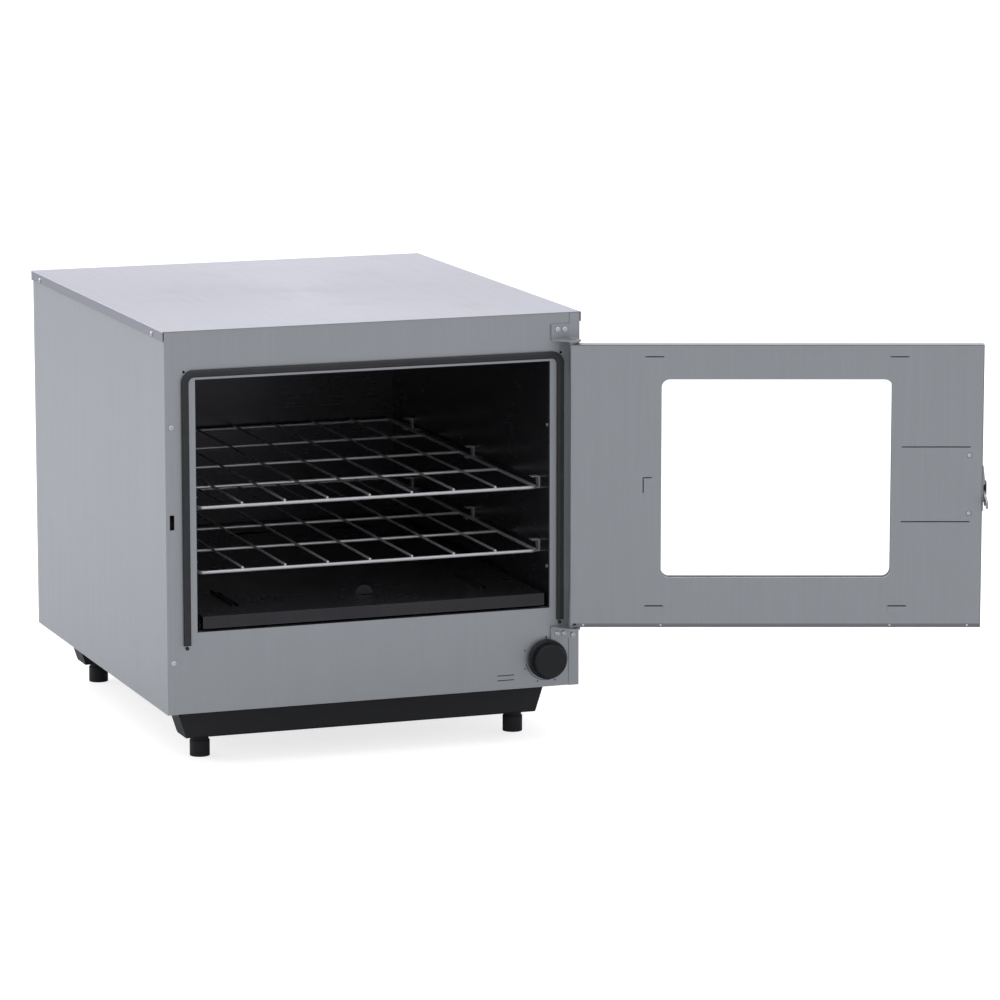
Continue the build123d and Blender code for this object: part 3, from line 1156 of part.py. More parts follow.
pieces = {
    "base_rail_front": base_rail_front,
    "base_rail_rear": base_rail_rear,
    "foot_front_left": foot_front_left,
    "foot_front_right": foot_front_right,
    "foot_rear_left": foot_rear_left,
    "foot_rear_right": foot_rear_right,
    "foot_screws": foot_screws,
    "base_rail_screws": base_rail_screws,
    "bottom_pan": bottom_pan,
    "side_panel_left": side_panel_left,
    "side_panel_right": side_panel_right,
    "top_cover": top_cover,
    "rear_panel": rear_panel,
    "front_frame": front_frame,
    "top_cover_screws": top_cover_screws,
    "front_frame_screws": front_frame_screws,
    "rear_panel_screws": rear_panel_screws,
    "cavity_wall_left": cavity_wall_left,
    "cavity_wall_right": cavity_wall_right,
    "cavity_wall_rear": cavity_wall_rear,
    "cavity_ceiling": cavity_ceiling,
    "cavity_floor": cavity_floor,
    "cavity_rivets": cavity_rivets,
    "insulation_left": insulation_left,
    "insulation_right": insulation_right,
    "insulation_top": insulation_top,
    "shelf_clips_upper_left": shelf_clips_upper_left,
    "shelf_clips_upper_right": shelf_clips_upper_right,
    "shelf_clips_lower_left": shelf_clips_lower_left,
    "shelf_clips_lower_right": shelf_clips_lower_right,
    "upper_shelf": upper_shelf,
    "lower_shelf": lower_shelf,
    "baffle_deck": baffle_deck,
    "heating_element": heating_element,
    "element_brackets": element_brackets,
    "thermostat": thermostat,
    "thermostat_shaft": thermostat_shaft,
    "thermostat_probe": thermostat_probe,
    "thermostat_screws": thermostat_screws,
    "control_knob": control_knob,
    "limit_thermostat": limit_thermostat,
    "terminal_block": terminal_block,
    "internal_leads": internal_leads,
    "cable_gland": cable_gland,
    "door_gasket": door_gasket,
    "gasket_end_pins": gasket_end_pins,
    "hinge_bracket_top": hinge_bracket_top,
    "hinge_bracket_bottom": hinge_bracket_bottom,
    "hinge_pins": hinge_pins,
    "hinge_screws": hinge_screws,
    "door_outer_pan": door_outer_pan,
    "door_inner_skin": door_inner_skin,
    "door_glass": door_glass,
    "glass_clips": glass_clips,
    "door_knuckles": door_knuckles,
    "latch_bracket": latch_bracket,
    "latch_lever": latch_lever,
    "latch_grip": latch_grip,
    "latch_pivot": latch_pivot,
    "door_screws": door_screws,
}
for name, piece in pieces.items():
    piece.part.label = name
    export_step(piece.part, f"parts/{name}.step")
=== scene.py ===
"""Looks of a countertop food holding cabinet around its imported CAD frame, in metres."""

import bpy
import bmesh
import json
import math
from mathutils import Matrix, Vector


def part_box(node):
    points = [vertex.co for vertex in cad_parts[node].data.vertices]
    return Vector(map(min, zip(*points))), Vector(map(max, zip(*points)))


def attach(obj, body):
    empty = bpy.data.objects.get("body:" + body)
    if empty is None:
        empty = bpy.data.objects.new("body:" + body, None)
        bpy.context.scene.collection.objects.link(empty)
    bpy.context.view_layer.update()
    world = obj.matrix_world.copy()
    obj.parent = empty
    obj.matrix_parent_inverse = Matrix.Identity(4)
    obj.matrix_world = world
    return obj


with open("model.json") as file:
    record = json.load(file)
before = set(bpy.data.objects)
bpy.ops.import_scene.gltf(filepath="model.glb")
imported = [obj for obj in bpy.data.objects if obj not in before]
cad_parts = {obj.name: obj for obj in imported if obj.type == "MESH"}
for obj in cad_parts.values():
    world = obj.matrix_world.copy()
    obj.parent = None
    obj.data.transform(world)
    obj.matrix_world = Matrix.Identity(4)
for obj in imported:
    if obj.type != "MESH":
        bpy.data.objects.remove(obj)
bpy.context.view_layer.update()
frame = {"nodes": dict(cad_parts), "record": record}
nodes = frame["nodes"]
record = frame["record"]
slot_of = {part["node"]: part["material_slot"] for part in record["subparts"]}


# ---------------------------------------------------------------- shader graph helpers
EVEN = (1.0, 1.0, 1.0)
EDGE_SAMPLES = 4
EDGE_ALIGNMENT = (0.80, 0.985)


class Graph:
    """A material's node tree, with short calls for the nodes that the finishes share."""

    def __init__(self, name):
        self.material = bpy.data.materials.new(name)
        self.material.use_nodes = True
        self.tree = self.material.node_tree
        self.tree.nodes.clear()
        self.output = self.tree.nodes.new("ShaderNodeOutputMaterial")
        self.coordinates = self.tree.nodes.new("ShaderNodeTexCoord")

    def node(self, kind, settings=None, **inputs):
        made = self.tree.nodes.new(kind)
        for key, value in (settings or {}).items():
            setattr(made, key, value)
        for key, value in inputs.items():
            self.feed(made.inputs[key.replace("_", " ")], value)
        return made

    def feed(self, socket, value):
        if isinstance(value, bpy.types.NodeSocket):
            self.tree.links.new(value, socket)
        else:
            socket.default_value = value

    def stretched(self, scale=EVEN, turn=0.0):
        """Object coordinates turned about Z, then scaled on each axis."""
        own = self.coordinates.outputs["Object"]
        turned = self.node("ShaderNodeMapping", Vector=own, Rotation=(0.0, 0.0, turn))
        return self.node("ShaderNodeMapping", Vector=turned.outputs[0], Scale=scale).outputs[0]

    def noise(self, vector, detail, scale=1.0, roughness=0.5):
        made = self.node(
            "ShaderNodeTexNoise", Vector=vector, Scale=scale, Detail=detail, Roughness=roughness
        )
        return made.outputs[0]

    def even_noise(self, scale, detail, roughness=0.5):
        """Noise that runs alike on all axes."""
        return self.noise(self.stretched(), detail, scale, roughness)

    def span(self, value, low, high, source=(0.0, 1.0)):
        """Value carried from the source range to low..high, and held there."""
        made = self.node("ShaderNodeMapRange")
        self.feed(made.inputs[0], value)
        self.feed(made.inputs[1], source[0])
        self.feed(made.inputs[2], source[1])
        self.feed(made.inputs[3], low)
        self.feed(made.inputs[4], high)
        return made.outputs[0]

    def maths(self, operation, first, second):
        made = self.node("ShaderNodeMath", {"operation": operation})
        self.feed(made.inputs[0], first)
        self.feed(made.inputs[1], second)
        return made.outputs[0]

    def plus(self, first, second):
        return self.maths("ADD", first, second)

    def share(self, value, part):
        return self.maths("MULTIPLY", value, part)

    def mix(self, amount, first, second):
        made = self.node("ShaderNodeMix", {"data_type": "RGBA"})
        self.feed(made.inputs[0], amount)
        self.feed(made.inputs[6], first)
        self.feed(made.inputs[7], second)
        return made.outputs[2]

    def shaded(self, amount, base, colour, factor):
        """Base carried towards the colour at another brightness."""
        return self.mix(amount, base, rgba(scaled(colour, factor)))

    def varied(self, amount, colour, low, high):
        """The colour carried from one brightness to another."""
        return self.mix(amount, rgba(scaled(colour, low)), rgba(scaled(colour, high)))

    def ramp(self, value, stops):
        made = self.node("ShaderNodeValToRGB")
        self.feed(made.inputs[0], value)
        while len(made.color_ramp.elements) < len(stops):
            made.color_ramp.elements.new(0.5)
        for element, (place, colour) in zip(made.color_ramp.elements, stops):
            element.position = place
            element.color = rgba(colour)
        return made.outputs[0]

    def bump(self, height, strength, distance, normal=None):
        made = self.node("ShaderNodeBump", Height=height, Strength=strength, Distance=distance)
        if normal is not None:
            self.feed(made.inputs["Normal"], normal)
        return made.outputs[0]

    def sharp_edge_mask(self, radius):
        """1 along a sharp edge, 0 on a flat: how far a rounded normal leaves the true one."""
        rounded = self.node("ShaderNodeBevel", {"samples": EDGE_SAMPLES}, Radius=radius)
        true_normal = self.node("ShaderNodeNewGeometry").outputs["Normal"]
        dot = self.node("ShaderNodeVectorMath", {"operation": "DOT_PRODUCT"})
        self.feed(dot.inputs[0], rounded.outputs[0])
        self.feed(dot.inputs[1], true_normal)
        return self.span(dot.outputs["Value"], 1.0, 0.0, EDGE_ALIGNMENT)

    def finished(self, shader):
        self.tree.links.new(shader.outputs[0], self.output.inputs["Surface"])
        return self.material

    def surface(self, **inputs):
        return self.finished(self.node("ShaderNodeBsdfPrincipled", **inputs))

    def blended(self, amount, first, second):
        """A finish of two shaders, the second as far as the amount says."""
        shader = self.node("ShaderNodeMixShader")
        self.feed(shader.inputs[0], amount)
        self.feed(shader.inputs[1], first.outputs[0])
        self.feed(shader.inputs[2], second.outputs[0])
        return self.finished(shader)


def rgba(colour):
    return (*colour, 1.0)


def scaled(colour, factor):
    return tuple(min(1.0, channel * factor) for channel in colour)


# ---------------------------------------------------------------- finishes
MIDDLE = (0.3, 0.7)
UPPER = (0.5, 0.75)
BRUSH_FINE = (1400.0, 9.0)
BRUSH_BROAD = (70.0, 1.1)
BRUSH_STREAK = 0.018
# painted shade: how soft the edge of the darker band on the door pan is
PAINTED_SHADE_BLUR = 0.001
PEEL_SCALE = 1100.0
SPARK_SCALE = 2600.0
GLASS_INDEX = 1.45
HEAT_TINTS = [
    (0.25, (0.13, 0.12, 0.11)),
    (0.45, (0.20, 0.14, 0.09)),
    (0.60, (0.14, 0.13, 0.15)),
    (0.80, (0.22, 0.20, 0.17)),
]
OXIDE = (0.07, 0.065, 0.06)


def brushed_steel(name, colour, roughness, grain, turn=0.0, edge=0.35, painted_shade_reach=None):
    """Sheet steel brushed along one axis, with faint handling marks and sheared edges lightened
    as wear and painted highlight.

    Where painted_shade_reach is given, the sheet is darker short of that distance across it:
    painted shade on a shaded band of the sheet.
    """
    g = Graph(name)
    fine_scale, broad_scale = (
        [along if axis == grain else across for axis in "XYZ"]
        for across, along in (BRUSH_FINE, BRUSH_BROAD)
    )
    fine = g.noise(g.stretched(fine_scale, turn), detail=2.0)
    broad = g.noise(g.stretched(broad_scale, turn), detail=3.0, roughness=0.6)
    cloud = g.even_noise(3.5, 3.0)
    smudge = g.span(g.even_noise(11.0, 5.0, 0.62), 0.0, 1.0, (0.56, 0.80))
    streaks = g.span(broad, 0.0, 1.0, MIDDLE)
    light = g.varied(streaks, colour, 1.0 - BRUSH_STREAK, 1.0 + BRUSH_STREAK)
    toned = g.shaded(g.span(cloud, 0.0, 0.5, (0.35, 0.7)), light, colour, 0.965)
    grained = g.shaded(g.span(fine, 0.0, 0.10, (0.42, 0.60)), toned, colour, 0.72)
    # painted shade: the sheet is darkened short of the given reach across it, for the door pan's
    # shaded band
    if painted_shade_reach is not None:
        turned = g.node("ShaderNodeSeparateXYZ", Vector=g.stretched(turn=turn))
        painted_shade_mask = g.span(turned.outputs[1], 1.0, 0.0, (painted_shade_reach - PAINTED_SHADE_BLUR, painted_shade_reach))
        grained = g.shaded(painted_shade_mask, grained, colour, 0.62)
    # edges lightened and made glossier: partly wear, partly painted highlight
    edge_mask = g.sharp_edge_mask(0.0011)
    base = g.shaded(g.share(edge_mask, edge), grained, colour, 1.28)
    brushing = g.span(fine, -0.035, 0.035, MIDDLE)
    matt = g.plus(brushing, g.span(smudge, roughness, roughness + 0.07))
    matt = g.maths("SUBTRACT", matt, g.share(edge_mask, 0.08))
    relief = g.bump(fine, 0.16, 0.00004, g.bump(cloud, 0.10, 0.0012))
    return g.surface(
        Base_Color=base, Metallic=0.85, Roughness=matt, Normal=relief, Anisotropic=0.35
    )


def painted_shade_cavity_metal(name, colour, roughness):
    """Cavity steel darkened as painted shade: faint rolled streaks, baked-on haze and small
    scuffs.
    """
    g = Graph(name)
    haze_range = (0.3, 0.75)
    rolled = g.noise(g.stretched((2.0, 3.0, 260.0)), detail=2.0)
    haze = g.even_noise(7.0, 5.0, 0.6)
    scuffs = g.noise(g.stretched((9.0, 420.0, 60.0)), detail=2.0)
    scuffs = g.span(scuffs, 0.0, 1.0, (0.66, 0.74))
    base = g.varied(g.span(haze, 0.0, 1.0, haze_range), colour, 0.85, 1.18)
    base = g.shaded(g.share(scuffs, 0.06), base, colour, 2.4)
    base = g.shaded(g.share(g.sharp_edge_mask(0.0010), 0.5), base, colour, 4.0)
    matt = g.span(haze, roughness - 0.05, roughness + 0.08, haze_range)
    matt = g.plus(matt, g.span(rolled, -0.015, 0.015, MIDDLE))
    relief = g.bump(rolled, 0.04, 0.00003, g.bump(haze, 0.06, 0.0010))
    return g.surface(Base_Color=base, Metallic=0.55, Roughness=matt, Normal=relief)


def plated_wire(name, colour, roughness, tint):
    """Bright plating over drawn wire, cloudy in places and duller where heat has touched it."""
    g = Graph(name)
    cloud = g.even_noise(26.0, 4.0)
    spots = g.span(g.even_noise(420.0, 3.0), 0.0, 1.0, (0.60, 0.72))
    base = g.mix(g.span(cloud, 0.0, 0.6, (0.45, 0.75)), rgba(colour), rgba(tint))
    base = g.shaded(g.share(spots, 0.12), base, colour, 0.7)
    matt = g.span(cloud, roughness, roughness + 0.06, (0.35, 0.7))
    matt = g.plus(matt, g.share(spots, 0.08))
    relief = g.bump(spots, 0.08, 0.00003)
    return g.surface(Base_Color=base, Metallic=0.65, Roughness=matt, Normal=relief)


def coated_metal(name, colour, roughness):
    """Powder coat: orange-peel bump, a little dust and rubbed edges."""
    g = Graph(name)
    peel = g.even_noise(PEEL_SCALE, 1.0)
    cloud = g.even_noise(9.0, 4.0)
    dust = g.span(g.even_noise(60.0, 6.0, 0.7), 0.0, 1.0, (0.56, 0.80))
    base = g.varied(g.span(cloud, 0.0, 1.0, MIDDLE), colour, 0.86, 1.14)
    base = g.shaded(g.share(dust, 0.10), base, colour, 4.0)
    base = g.shaded(g.share(g.sharp_edge_mask(0.0009), 0.35), base, colour, 3.4)
    matt = g.span(cloud, roughness - 0.05, roughness + 0.05, MIDDLE)
    matt = g.plus(matt, g.share(dust, 0.12))
    relief = g.bump(peel, 0.22, 0.00012)
    return g.surface(Base_Color=base, Roughness=matt, Normal=relief, Specular_IOR_Level=0.35)


def moulded_rubber(name, colour, roughness):
    """Moulded rubber with a fine pitted skin and pale bloom."""
    g = Graph(name)
    pits = g.even_noise(1800.0, 2.0)
    bloom = g.span(g.even_noise(45.0, 5.0, 0.65), 0.0, 1.0, (0.48, 0.78))
    base = g.mix(g.share(bloom, 0.5), rgba(colour), rgba(scaled(colour, 1.9)))
    base = g.shaded(g.span(pits, 0.0, 0.35, (0.55, 0.75)), base, colour, 0.5)
    matt = g.span(bloom, roughness, roughness + 0.12)
    relief = g.bump(pits, 0.35, 0.00010)
    return g.surface(Base_Color=base, Roughness=matt, Normal=relief, Specular_IOR_Level=0.3)


def moulded_plastic(name, colour, roughness):
    """Moulded plastic with a spark-eroded texture, rubbed shinier on its edges."""
    g = Graph(name)
    texture = g.even_noise(SPARK_SCALE, 2.0)
    handled = g.even_noise(55.0, 4.0)
    edge_mask = g.sharp_edge_mask(0.0008)
    base = g.varied(g.span(handled, 0.0, 1.0, MIDDLE), colour, 0.85, 1.15)
    base = g.shaded(g.share(edge_mask, 0.4), base, colour, 2.6)
    matt = g.span(handled, roughness - 0.05, roughness + 0.07, MIDDLE)
    matt = g.maths("SUBTRACT", matt, g.share(edge_mask, 0.12))
    relief = g.bump(texture, 0.25, 0.00008)
    return g.surface(Base_Color=base, Roughness=matt, Normal=relief, Specular_IOR_Level=0.3)


def galvanised_sheet(name, colour, roughness):
    """Zinc-coated sheet: spangles of slightly different grey and sheen."""
    g = Graph(name)
    spangle = g.node("ShaderNodeTexVoronoi", Vector=g.stretched(), Scale=85.0)
    grey = g.node("ShaderNodeSeparateColor", Color=spangle.outputs["Color"]).outputs[0]
    cloud = g.even_noise(5.0, 4.0)
    base = g.varied(g.span(grey, 0.0, 1.0), colour, 0.95, 1.04)
    base = g.shaded(g.span(cloud, 0.0, 0.35, (0.4, 0.75)), base, colour, 0.8)
    base = g.shaded(g.share(g.sharp_edge_mask(0.0009), 0.4), base, colour, 1.4)
    matt = g.plus(g.span(grey, roughness - 0.03, roughness + 0.03), g.span(cloud, 0.0, 0.05))
    relief = g.bump(grey, 0.08, 0.00012)
    return g.surface(Base_Color=base, Metallic=0.85, Roughness=matt, Normal=relief)


def heated_sheath(name):
    """Heating-element tube: straw, brown and blue-grey heat tints under a dull oxide."""
    g = Graph(name)
    bands = g.even_noise(14.0, 3.0)
    scale = g.even_noise(480.0, 3.0)
    base = g.mix(g.span(scale, 0.0, 0.5, UPPER), g.ramp(bands, HEAT_TINTS), rgba(OXIDE))
    matt = g.span(scale, 0.38, 0.62)
    relief = g.bump(scale, 0.25, 0.00015)
    return g.surface(Base_Color=base, Metallic=0.7, Roughness=matt, Normal=relief)


def mineral_wool(name, colour):
    """Pressed mineral wool: crossed fibres with clumps and darker gaps."""
    g = Graph(name)
    fibres = g.noise(g.stretched((60.0, 60.0, 1500.0)), detail=4.0, roughness=0.7)
    crossed = g.noise(g.stretched((1500.0, 60.0, 60.0), 0.6), detail=4.0, roughness=0.7)
    clumps = g.even_noise(70.0, 5.0, 0.7)
    strands = g.maths("MAXIMUM", fibres, crossed)
    base = g.varied(g.span(strands, 0.0, 1.0, (0.35, 0.7)), colour, 0.55, 1.15)
    base = g.shaded(g.span(clumps, 0.0, 0.5, UPPER), base, colour, 0.6)
    relief = g.bump(strands, 0.7, 0.0005, g.bump(clumps, 0.5, 0.0025))
    return g.surface(Base_Color=base, Roughness=g.span(clumps, 0.88, 0.98), Normal=relief)


def window_glass(name):
    """Tempered glass with faint wipe marks: clear seen squarely, dark at a steep slant."""
    g = Graph(name)
    wipes = g.noise(g.stretched((4.0, 4.0, 90.0)), detail=3.0)
    film = g.span(wipes, 0.02, 0.09, (0.45, 0.75))
    gloss = g.node("ShaderNodeBsdfGlossy", Color=rgba((0.96, 0.98, 0.98)), Roughness=film)
    clear = g.node("ShaderNodeBsdfTransparent", Color=rgba((0.975, 0.99, 0.985)))
    facing = g.node("ShaderNodeFresnel", IOR=GLASS_INDEX).outputs[0]
    return g.blended(facing, clear, gloss)


def printed_ink(name, colour):
    """Screen-printed ink with slightly broken cover."""
    g = Graph(name)
    speckle = g.even_noise(3200.0, 3.0)
    base = g.mix(g.span(speckle, 0.0, 0.4, (0.5, 0.7)), rgba(colour), rgba(scaled(colour, 2.2)))
    matt = g.span(speckle, 0.45, 0.6)
    relief = g.bump(speckle, 0.2, 0.00003)
    return g.surface(Base_Color=base, Roughness=matt, Normal=relief)


STEEL = (0.378, 0.400, 0.410)
# painted shade: the top is the same stainless as the sides, given a darker, bluer colour for how
# light falls on it
TOP_STEEL_PAINTED_SHADE = (0.292, 0.300, 0.330)
# painted shade: the door is the outer steel made 3 % darker for the light on its turned face
DOOR_STEEL_PAINTED_SHADE = scaled(STEEL, 0.97)
WIRE, WIRE_TINT = (0.56, 0.56, 0.57), (0.50, 0.49, 0.48)
FASTENER, FASTENER_TINT = (0.62, 0.63, 0.65), (0.55, 0.55, 0.55)
DOOR_TURN = math.radians(20.0)
finishes = {
    "stainless_outer": brushed_steel("outer_steel", STEEL, 0.42, "Z"),
    "stainless_top": brushed_steel("top_steel_painted_shade", TOP_STEEL_PAINTED_SHADE, 0.42, "Y"),
    "stainless_door": brushed_steel("door_steel_painted_shade", DOOR_STEEL_PAINTED_SHADE, 0.45, "Z", DOOR_TURN),
    # painted shade: the cavity's near-black colour stands in for the shade inside the cabinet
    "cavity_dark": painted_shade_cavity_metal("painted_shade_cavity_metal", (0.030, 0.030, 0.033), 0.24),
    "shelf_chrome": plated_wire("plated_wire", WIRE, 0.30, WIRE_TINT),
    "bright_fastener": plated_wire("bright_fastener", FASTENER, 0.20, FASTENER_TINT),
    # painted shade: the hinge steel is the outer steel made 5 % darker for the shade about the
    # brackets, with its edges kept nearly unlightened
    "hinge_steel": brushed_steel("hinge_steel", scaled(STEEL, 0.95), 0.42, "Z", edge=0.08),
    "base_black": coated_metal("base_coat", (0.0135, 0.0144, 0.0158), 0.55),
    "foot_rubber": moulded_rubber("foot_rubber", (0.0130, 0.0137, 0.0152), 0.66),
    "gasket_rubber": moulded_rubber("gasket_rubber", (0.029, 0.030, 0.032), 0.60),
    "knob_black": moulded_plastic("knob_plastic", (0.0095, 0.0102, 0.0112), 0.48),
    "latch_black": moulded_plastic("latch_plastic", (0.012, 0.0125, 0.0135), 0.35),
    "glass_clear": window_glass("window_glass"),
    "galvanised": galvanised_sheet("galvanised_sheet", (0.42, 0.43, 0.45), 0.46),
    "element_sheath": heated_sheath("heated_sheath"),
    "mineral_wool": mineral_wool("mineral_wool", (0.34, 0.29, 0.16)),
    "control_plastic": moulded_plastic("control_plastic", (0.03, 0.03, 0.033), 0.48),
    "terminal_white": moulded_plastic("terminal_ceramic", (0.62, 0.60, 0.55), 0.50),
    "lead_red": moulded_rubber("silicone_lead", (0.30, 0.035, 0.025), 0.50),
}
joints = {joint["name"]: joint for joint in record["behaviour"]["joints"]}
pin_x, pin_y = joints["door_hinge"]["pos_m"][:2]
pin_across = pin_x * math.sin(DOOR_TURN) + pin_y * math.cos(DOOR_TURN)
PAN_FACE = 0.006
own_finishes = {
    # painted shade: the door pan is darkened short of a line just past the hinge pin, for its
    # shaded band
    "door_outer_pan": brushed_steel(
        "door_pan_steel_painted_shade", DOOR_STEEL_PAINTED_SHADE, 0.45, "Z", DOOR_TURN, edge=0.0, painted_shade_reach=pin_across + PAN_FACE
    ),
}
for node_name, node_object in nodes.items():
    for material_slot in node_object.material_slots:
        material_slot.material = own_finishes.get(node_name, finishes[slot_of[node_name]])


# ---------------------------------------------------------------- printed marks round the dial
INK_THICKNESS = 0.00006
DOT_SIDES = 20
DOT_ANGLES = (157.5, 202.5, 247.5, 292.5)
DOT_RADIUS = 0.0011
DOT_GAP = 0.0065
MARKER_ANGLE = 90.0
MARKER_RADIUS = 0.0016
MARKER_GAP = 0.0020
SWEEP_ANGLES = (190.0, 285.0)
SWEEP_GAPS = (0.0025, 0.0033)
SWEEP_STEP = 4
BAR_SPAN = (-0.074, -0.049)
BAR_DROPS = (0.0215, 0.0285)
BAR_THICKNESS = 0.0014
knob_low, knob_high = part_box("control_knob")
sheet_low, sheet_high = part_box("front_frame")
dial_x = (knob_low[0] + knob_high[0]) / 2
dial_z = (knob_low[2] + knob_high[2]) / 2
skirt_radius = (knob_high[0] - knob_low[0]) / 2
face_y = sheet_low[1]
ink = printed_ink("dial_ink", (0.025, 0.027, 0.030))


def printed(name, outlines):
    """Flat printed patches on the front sheet; each outline is a list of (x, z) corners."""
    shape = bmesh.new()
    for outline in outlines:
        back = [shape.verts.new((x, face_y, z)) for x, z in outline]
        front = [shape.verts.new((x, face_y - INK_THICKNESS, z)) for x, z in outline]
        shape.faces.new(front)
        shape.faces.new(list(reversed(back)))
        for here in range(len(outline)):
            after = (here + 1) % len(outline)
            shape.faces.new((back[here], back[after], front[after], front[here]))
    bmesh.ops.recalc_face_normals(shape, faces=shape.faces)
    mesh = bpy.data.meshes.new(name)
    shape.to_mesh(mesh)
    shape.free()
    mesh.materials.append(ink)
    piece = bpy.data.objects.new(name, mesh)
    bpy.context.scene.collection.objects.link(piece)
    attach(piece, "cabinet")


def on_dial(angle, radius):
    """A point round the knob; angle in degrees, anticlockwise from the right."""
    turn = math.radians(angle)
    return (dial_x + radius * math.cos(turn), dial_z + radius * math.sin(turn))


def dot(angle, radius, size):
    centre_x, centre_z = on_dial(angle, radius)
    turns = [2 * math.pi * step / DOT_SIDES for step in range(DOT_SIDES)]
    return [
        (centre_x + size * math.cos(turn), centre_z + size * math.sin(turn)) for turn in turns
    ]


def band(start, end, inner, outer):
    """Short arc strips between two angles round the knob."""
    steps = int((end - start) / SWEEP_STEP)
    angles = [start + (end - start) * step / steps for step in range(steps + 1)]
    return [
        [on_dial(a, inner), on_dial(b, inner), on_dial(b, outer), on_dial(a, outer)]
        for a, b in zip(angles, angles[1:])
    ]


def bars(left, right, heights, thickness):
    return [
        [(left, z), (right, z), (right, z + thickness), (left, z + thickness)] for z in heights
    ]


dots = [dot(angle, skirt_radius + DOT_GAP, DOT_RADIUS) for angle in DOT_ANGLES]
sweep = band(*SWEEP_ANGLES, *(skirt_radius + gap for gap in SWEEP_GAPS))
bar_ends = [dial_x + shift for shift in BAR_SPAN]
bar_heights = [dial_z - drop for drop in BAR_DROPS]
printed("dial_dots", dots)
printed("dial_marker", [dot(MARKER_ANGLE, skirt_radius + MARKER_GAP, MARKER_RADIUS)])
printed("dial_sweep", sweep)
printed("front_bars", bars(*bar_ends, bar_heights, BAR_THICKNESS))


# ---------------------------------------------------------------- studio
WHITE = (1.0, 1.0, 1.0)
FLOOR_REACH = 60.0
FLOOR_CELLS = 8
FLOOR_SHADES = ((0.40, 0.40, 0.40), (0.42, 0.42, 0.42))
FLOOR_BOUNCE = (0.50, 0.50, 0.51)
FLOOR_GLOW = 0.74
GLOW_REACH = 0.9
FRONT_GLOW, FRONT_TINT = 0.80, (0.97, 1.0, 1.0)
BACK_GLOW, BACK_TINT = 1.50, (1.0, 0.99, 1.045)
SENSOR_WIDTH = 36.0
LENS = 179.9
CAMERA_PLACE = (-2.191, -6.884, 1.577)
CAMERA_SIGHT = (0.3367, 0.9256, -0.1733)

floor_mesh = bpy.data.meshes.new("studio_floor")
floor_shape = bmesh.new()
bmesh.ops.create_grid(
    floor_shape, x_segments=FLOOR_CELLS, y_segments=FLOOR_CELLS, size=FLOOR_REACH
)
floor_shape.to_mesh(floor_mesh)
floor_shape.free()
floor = bpy.data.objects.new("studio_floor", floor_mesh)
bpy.context.scene.collection.objects.link(floor)
floor_graph = Graph("studio_floor")
floor_tone = floor_graph.even_noise(0.8, 2.0)
floor_colour = floor_graph.mix(floor_tone, *(rgba(shade) for shade in FLOOR_SHADES))
shown_floor = floor_graph.node(
    "ShaderNodeBsdfPrincipled",
    Base_Color=floor_colour,
    Roughness=0.9,
    Emission_Color=rgba(WHITE),
    Emission_Strength=FLOOR_GLOW,
)
lit_floor = floor_graph.node("ShaderNodeBsdfDiffuse", Color=rgba(FLOOR_BOUNCE))
floor_seen = floor_graph.node("ShaderNodeLightPath").outputs["Is Camera Ray"]
floor_mesh.materials.append(floor_graph.blended(floor_seen, lit_floor, shown_floor))

scene = bpy.context.scene
scene.view_settings.view_transform = "Standard"
scene.view_settings.look = "None"

world = bpy.data.worlds.new("studio")
scene.world = world
world.use_nodes = True
world_tree = world.node_tree
world_tree.nodes.clear()


def world_node(kind, **settings):
    made = world_tree.nodes.new(kind)
    for key, value in settings.items():
        setattr(made, key, value)
    return made


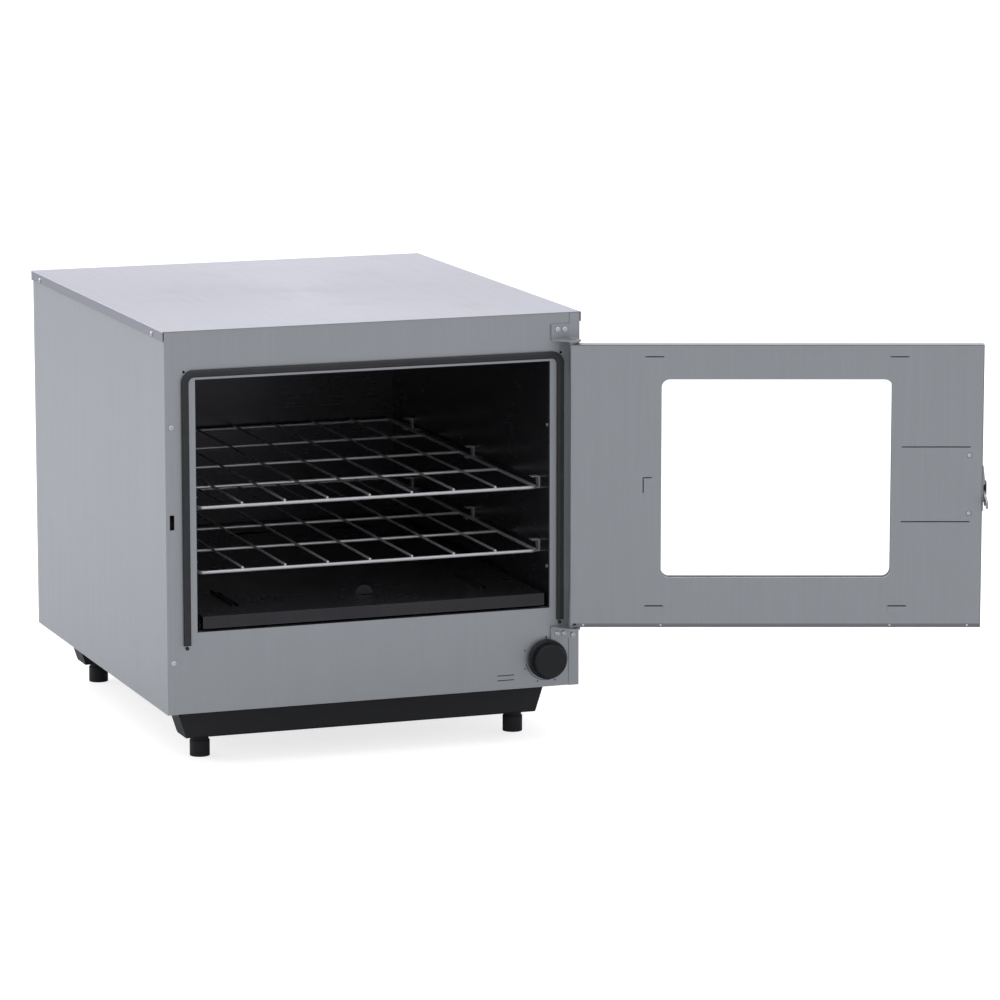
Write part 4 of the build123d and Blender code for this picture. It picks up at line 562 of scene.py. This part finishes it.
directions = world_node("ShaderNodeTexCoord")
axes = world_node("ShaderNodeSeparateXYZ")
world_tree.links.new(directions.outputs["Generated"], axes.inputs[0])
glow = world_node("ShaderNodeMapRange", interpolation_type="SMOOTHSTEP")
world_tree.links.new(axes.outputs[1], glow.inputs[0])
for socket, value in enumerate((-GLOW_REACH, GLOW_REACH, FRONT_GLOW, BACK_GLOW), start=1):
    glow.inputs[socket].default_value = value
tint = world_node("ShaderNodeMix", data_type="RGBA")
world_tree.links.new(glow.outputs[0], tint.inputs[0])
tint.inputs[6].default_value = rgba(FRONT_TINT)
tint.inputs[7].default_value = rgba(BACK_TINT)
room = world_node("ShaderNodeBackground")
world_tree.links.new(tint.outputs[2], room.inputs["Color"])
world_tree.links.new(glow.outputs[0], room.inputs["Strength"])
white = world_node("ShaderNodeBackground")
white.inputs["Color"].default_value = rgba(WHITE)
white.inputs["Strength"].default_value = 1.0
seen = world_node("ShaderNodeLightPath")
either = world_node("ShaderNodeMixShader")
world_tree.links.new(seen.outputs["Is Camera Ray"], either.inputs[0])
world_tree.links.new(room.outputs[0], either.inputs[1])
world_tree.links.new(white.outputs[0], either.inputs[2])
world_output = world_node("ShaderNodeOutputWorld")
world_tree.links.new(either.outputs[0], world_output.inputs["Surface"])


def facing_along(sight):
    """The turn that points a light or a camera along a direction."""
    return sight.to_track_quat("-Z", "Y").to_euler()


def soft_light(name, place, target, size, power, colour=WHITE):
    """A large rectangular studio light at a place, facing a target."""
    lamp = bpy.data.lights.new(name, "AREA")
    lamp.shape = "RECTANGLE"
    lamp.size, lamp.size_y = size
    lamp.energy = power
    lamp.color = colour
    light = bpy.data.objects.new(name, lamp)
    light.location = place
    light.rotation_euler = facing_along(Vector(target) - Vector(place))
    scene.collection.objects.link(light)


soft_light(
    "overhead", place=(0.0, 0.3, 4.2), target=(0.0, 0.0, 0.3), size=(6.0, 6.0), power=90.0
)
soft_light(
    "left_back",
    place=(-2.6, 2.6, 1.9),
    target=(-0.3, 0.0, 0.45),
    size=(3.0, 1.8),
    power=55.0,
    colour=(0.98, 0.99, 1.0),
)

camera_data = bpy.data.cameras.new("camera")
camera_data.sensor_width = SENSOR_WIDTH
camera_data.lens = LENS
camera = bpy.data.objects.new("camera", camera_data)
camera.location = CAMERA_PLACE
camera.rotation_euler = facing_along(Vector(CAMERA_SIGHT))
scene.collection.objects.link(camera)
scene.camera = camera
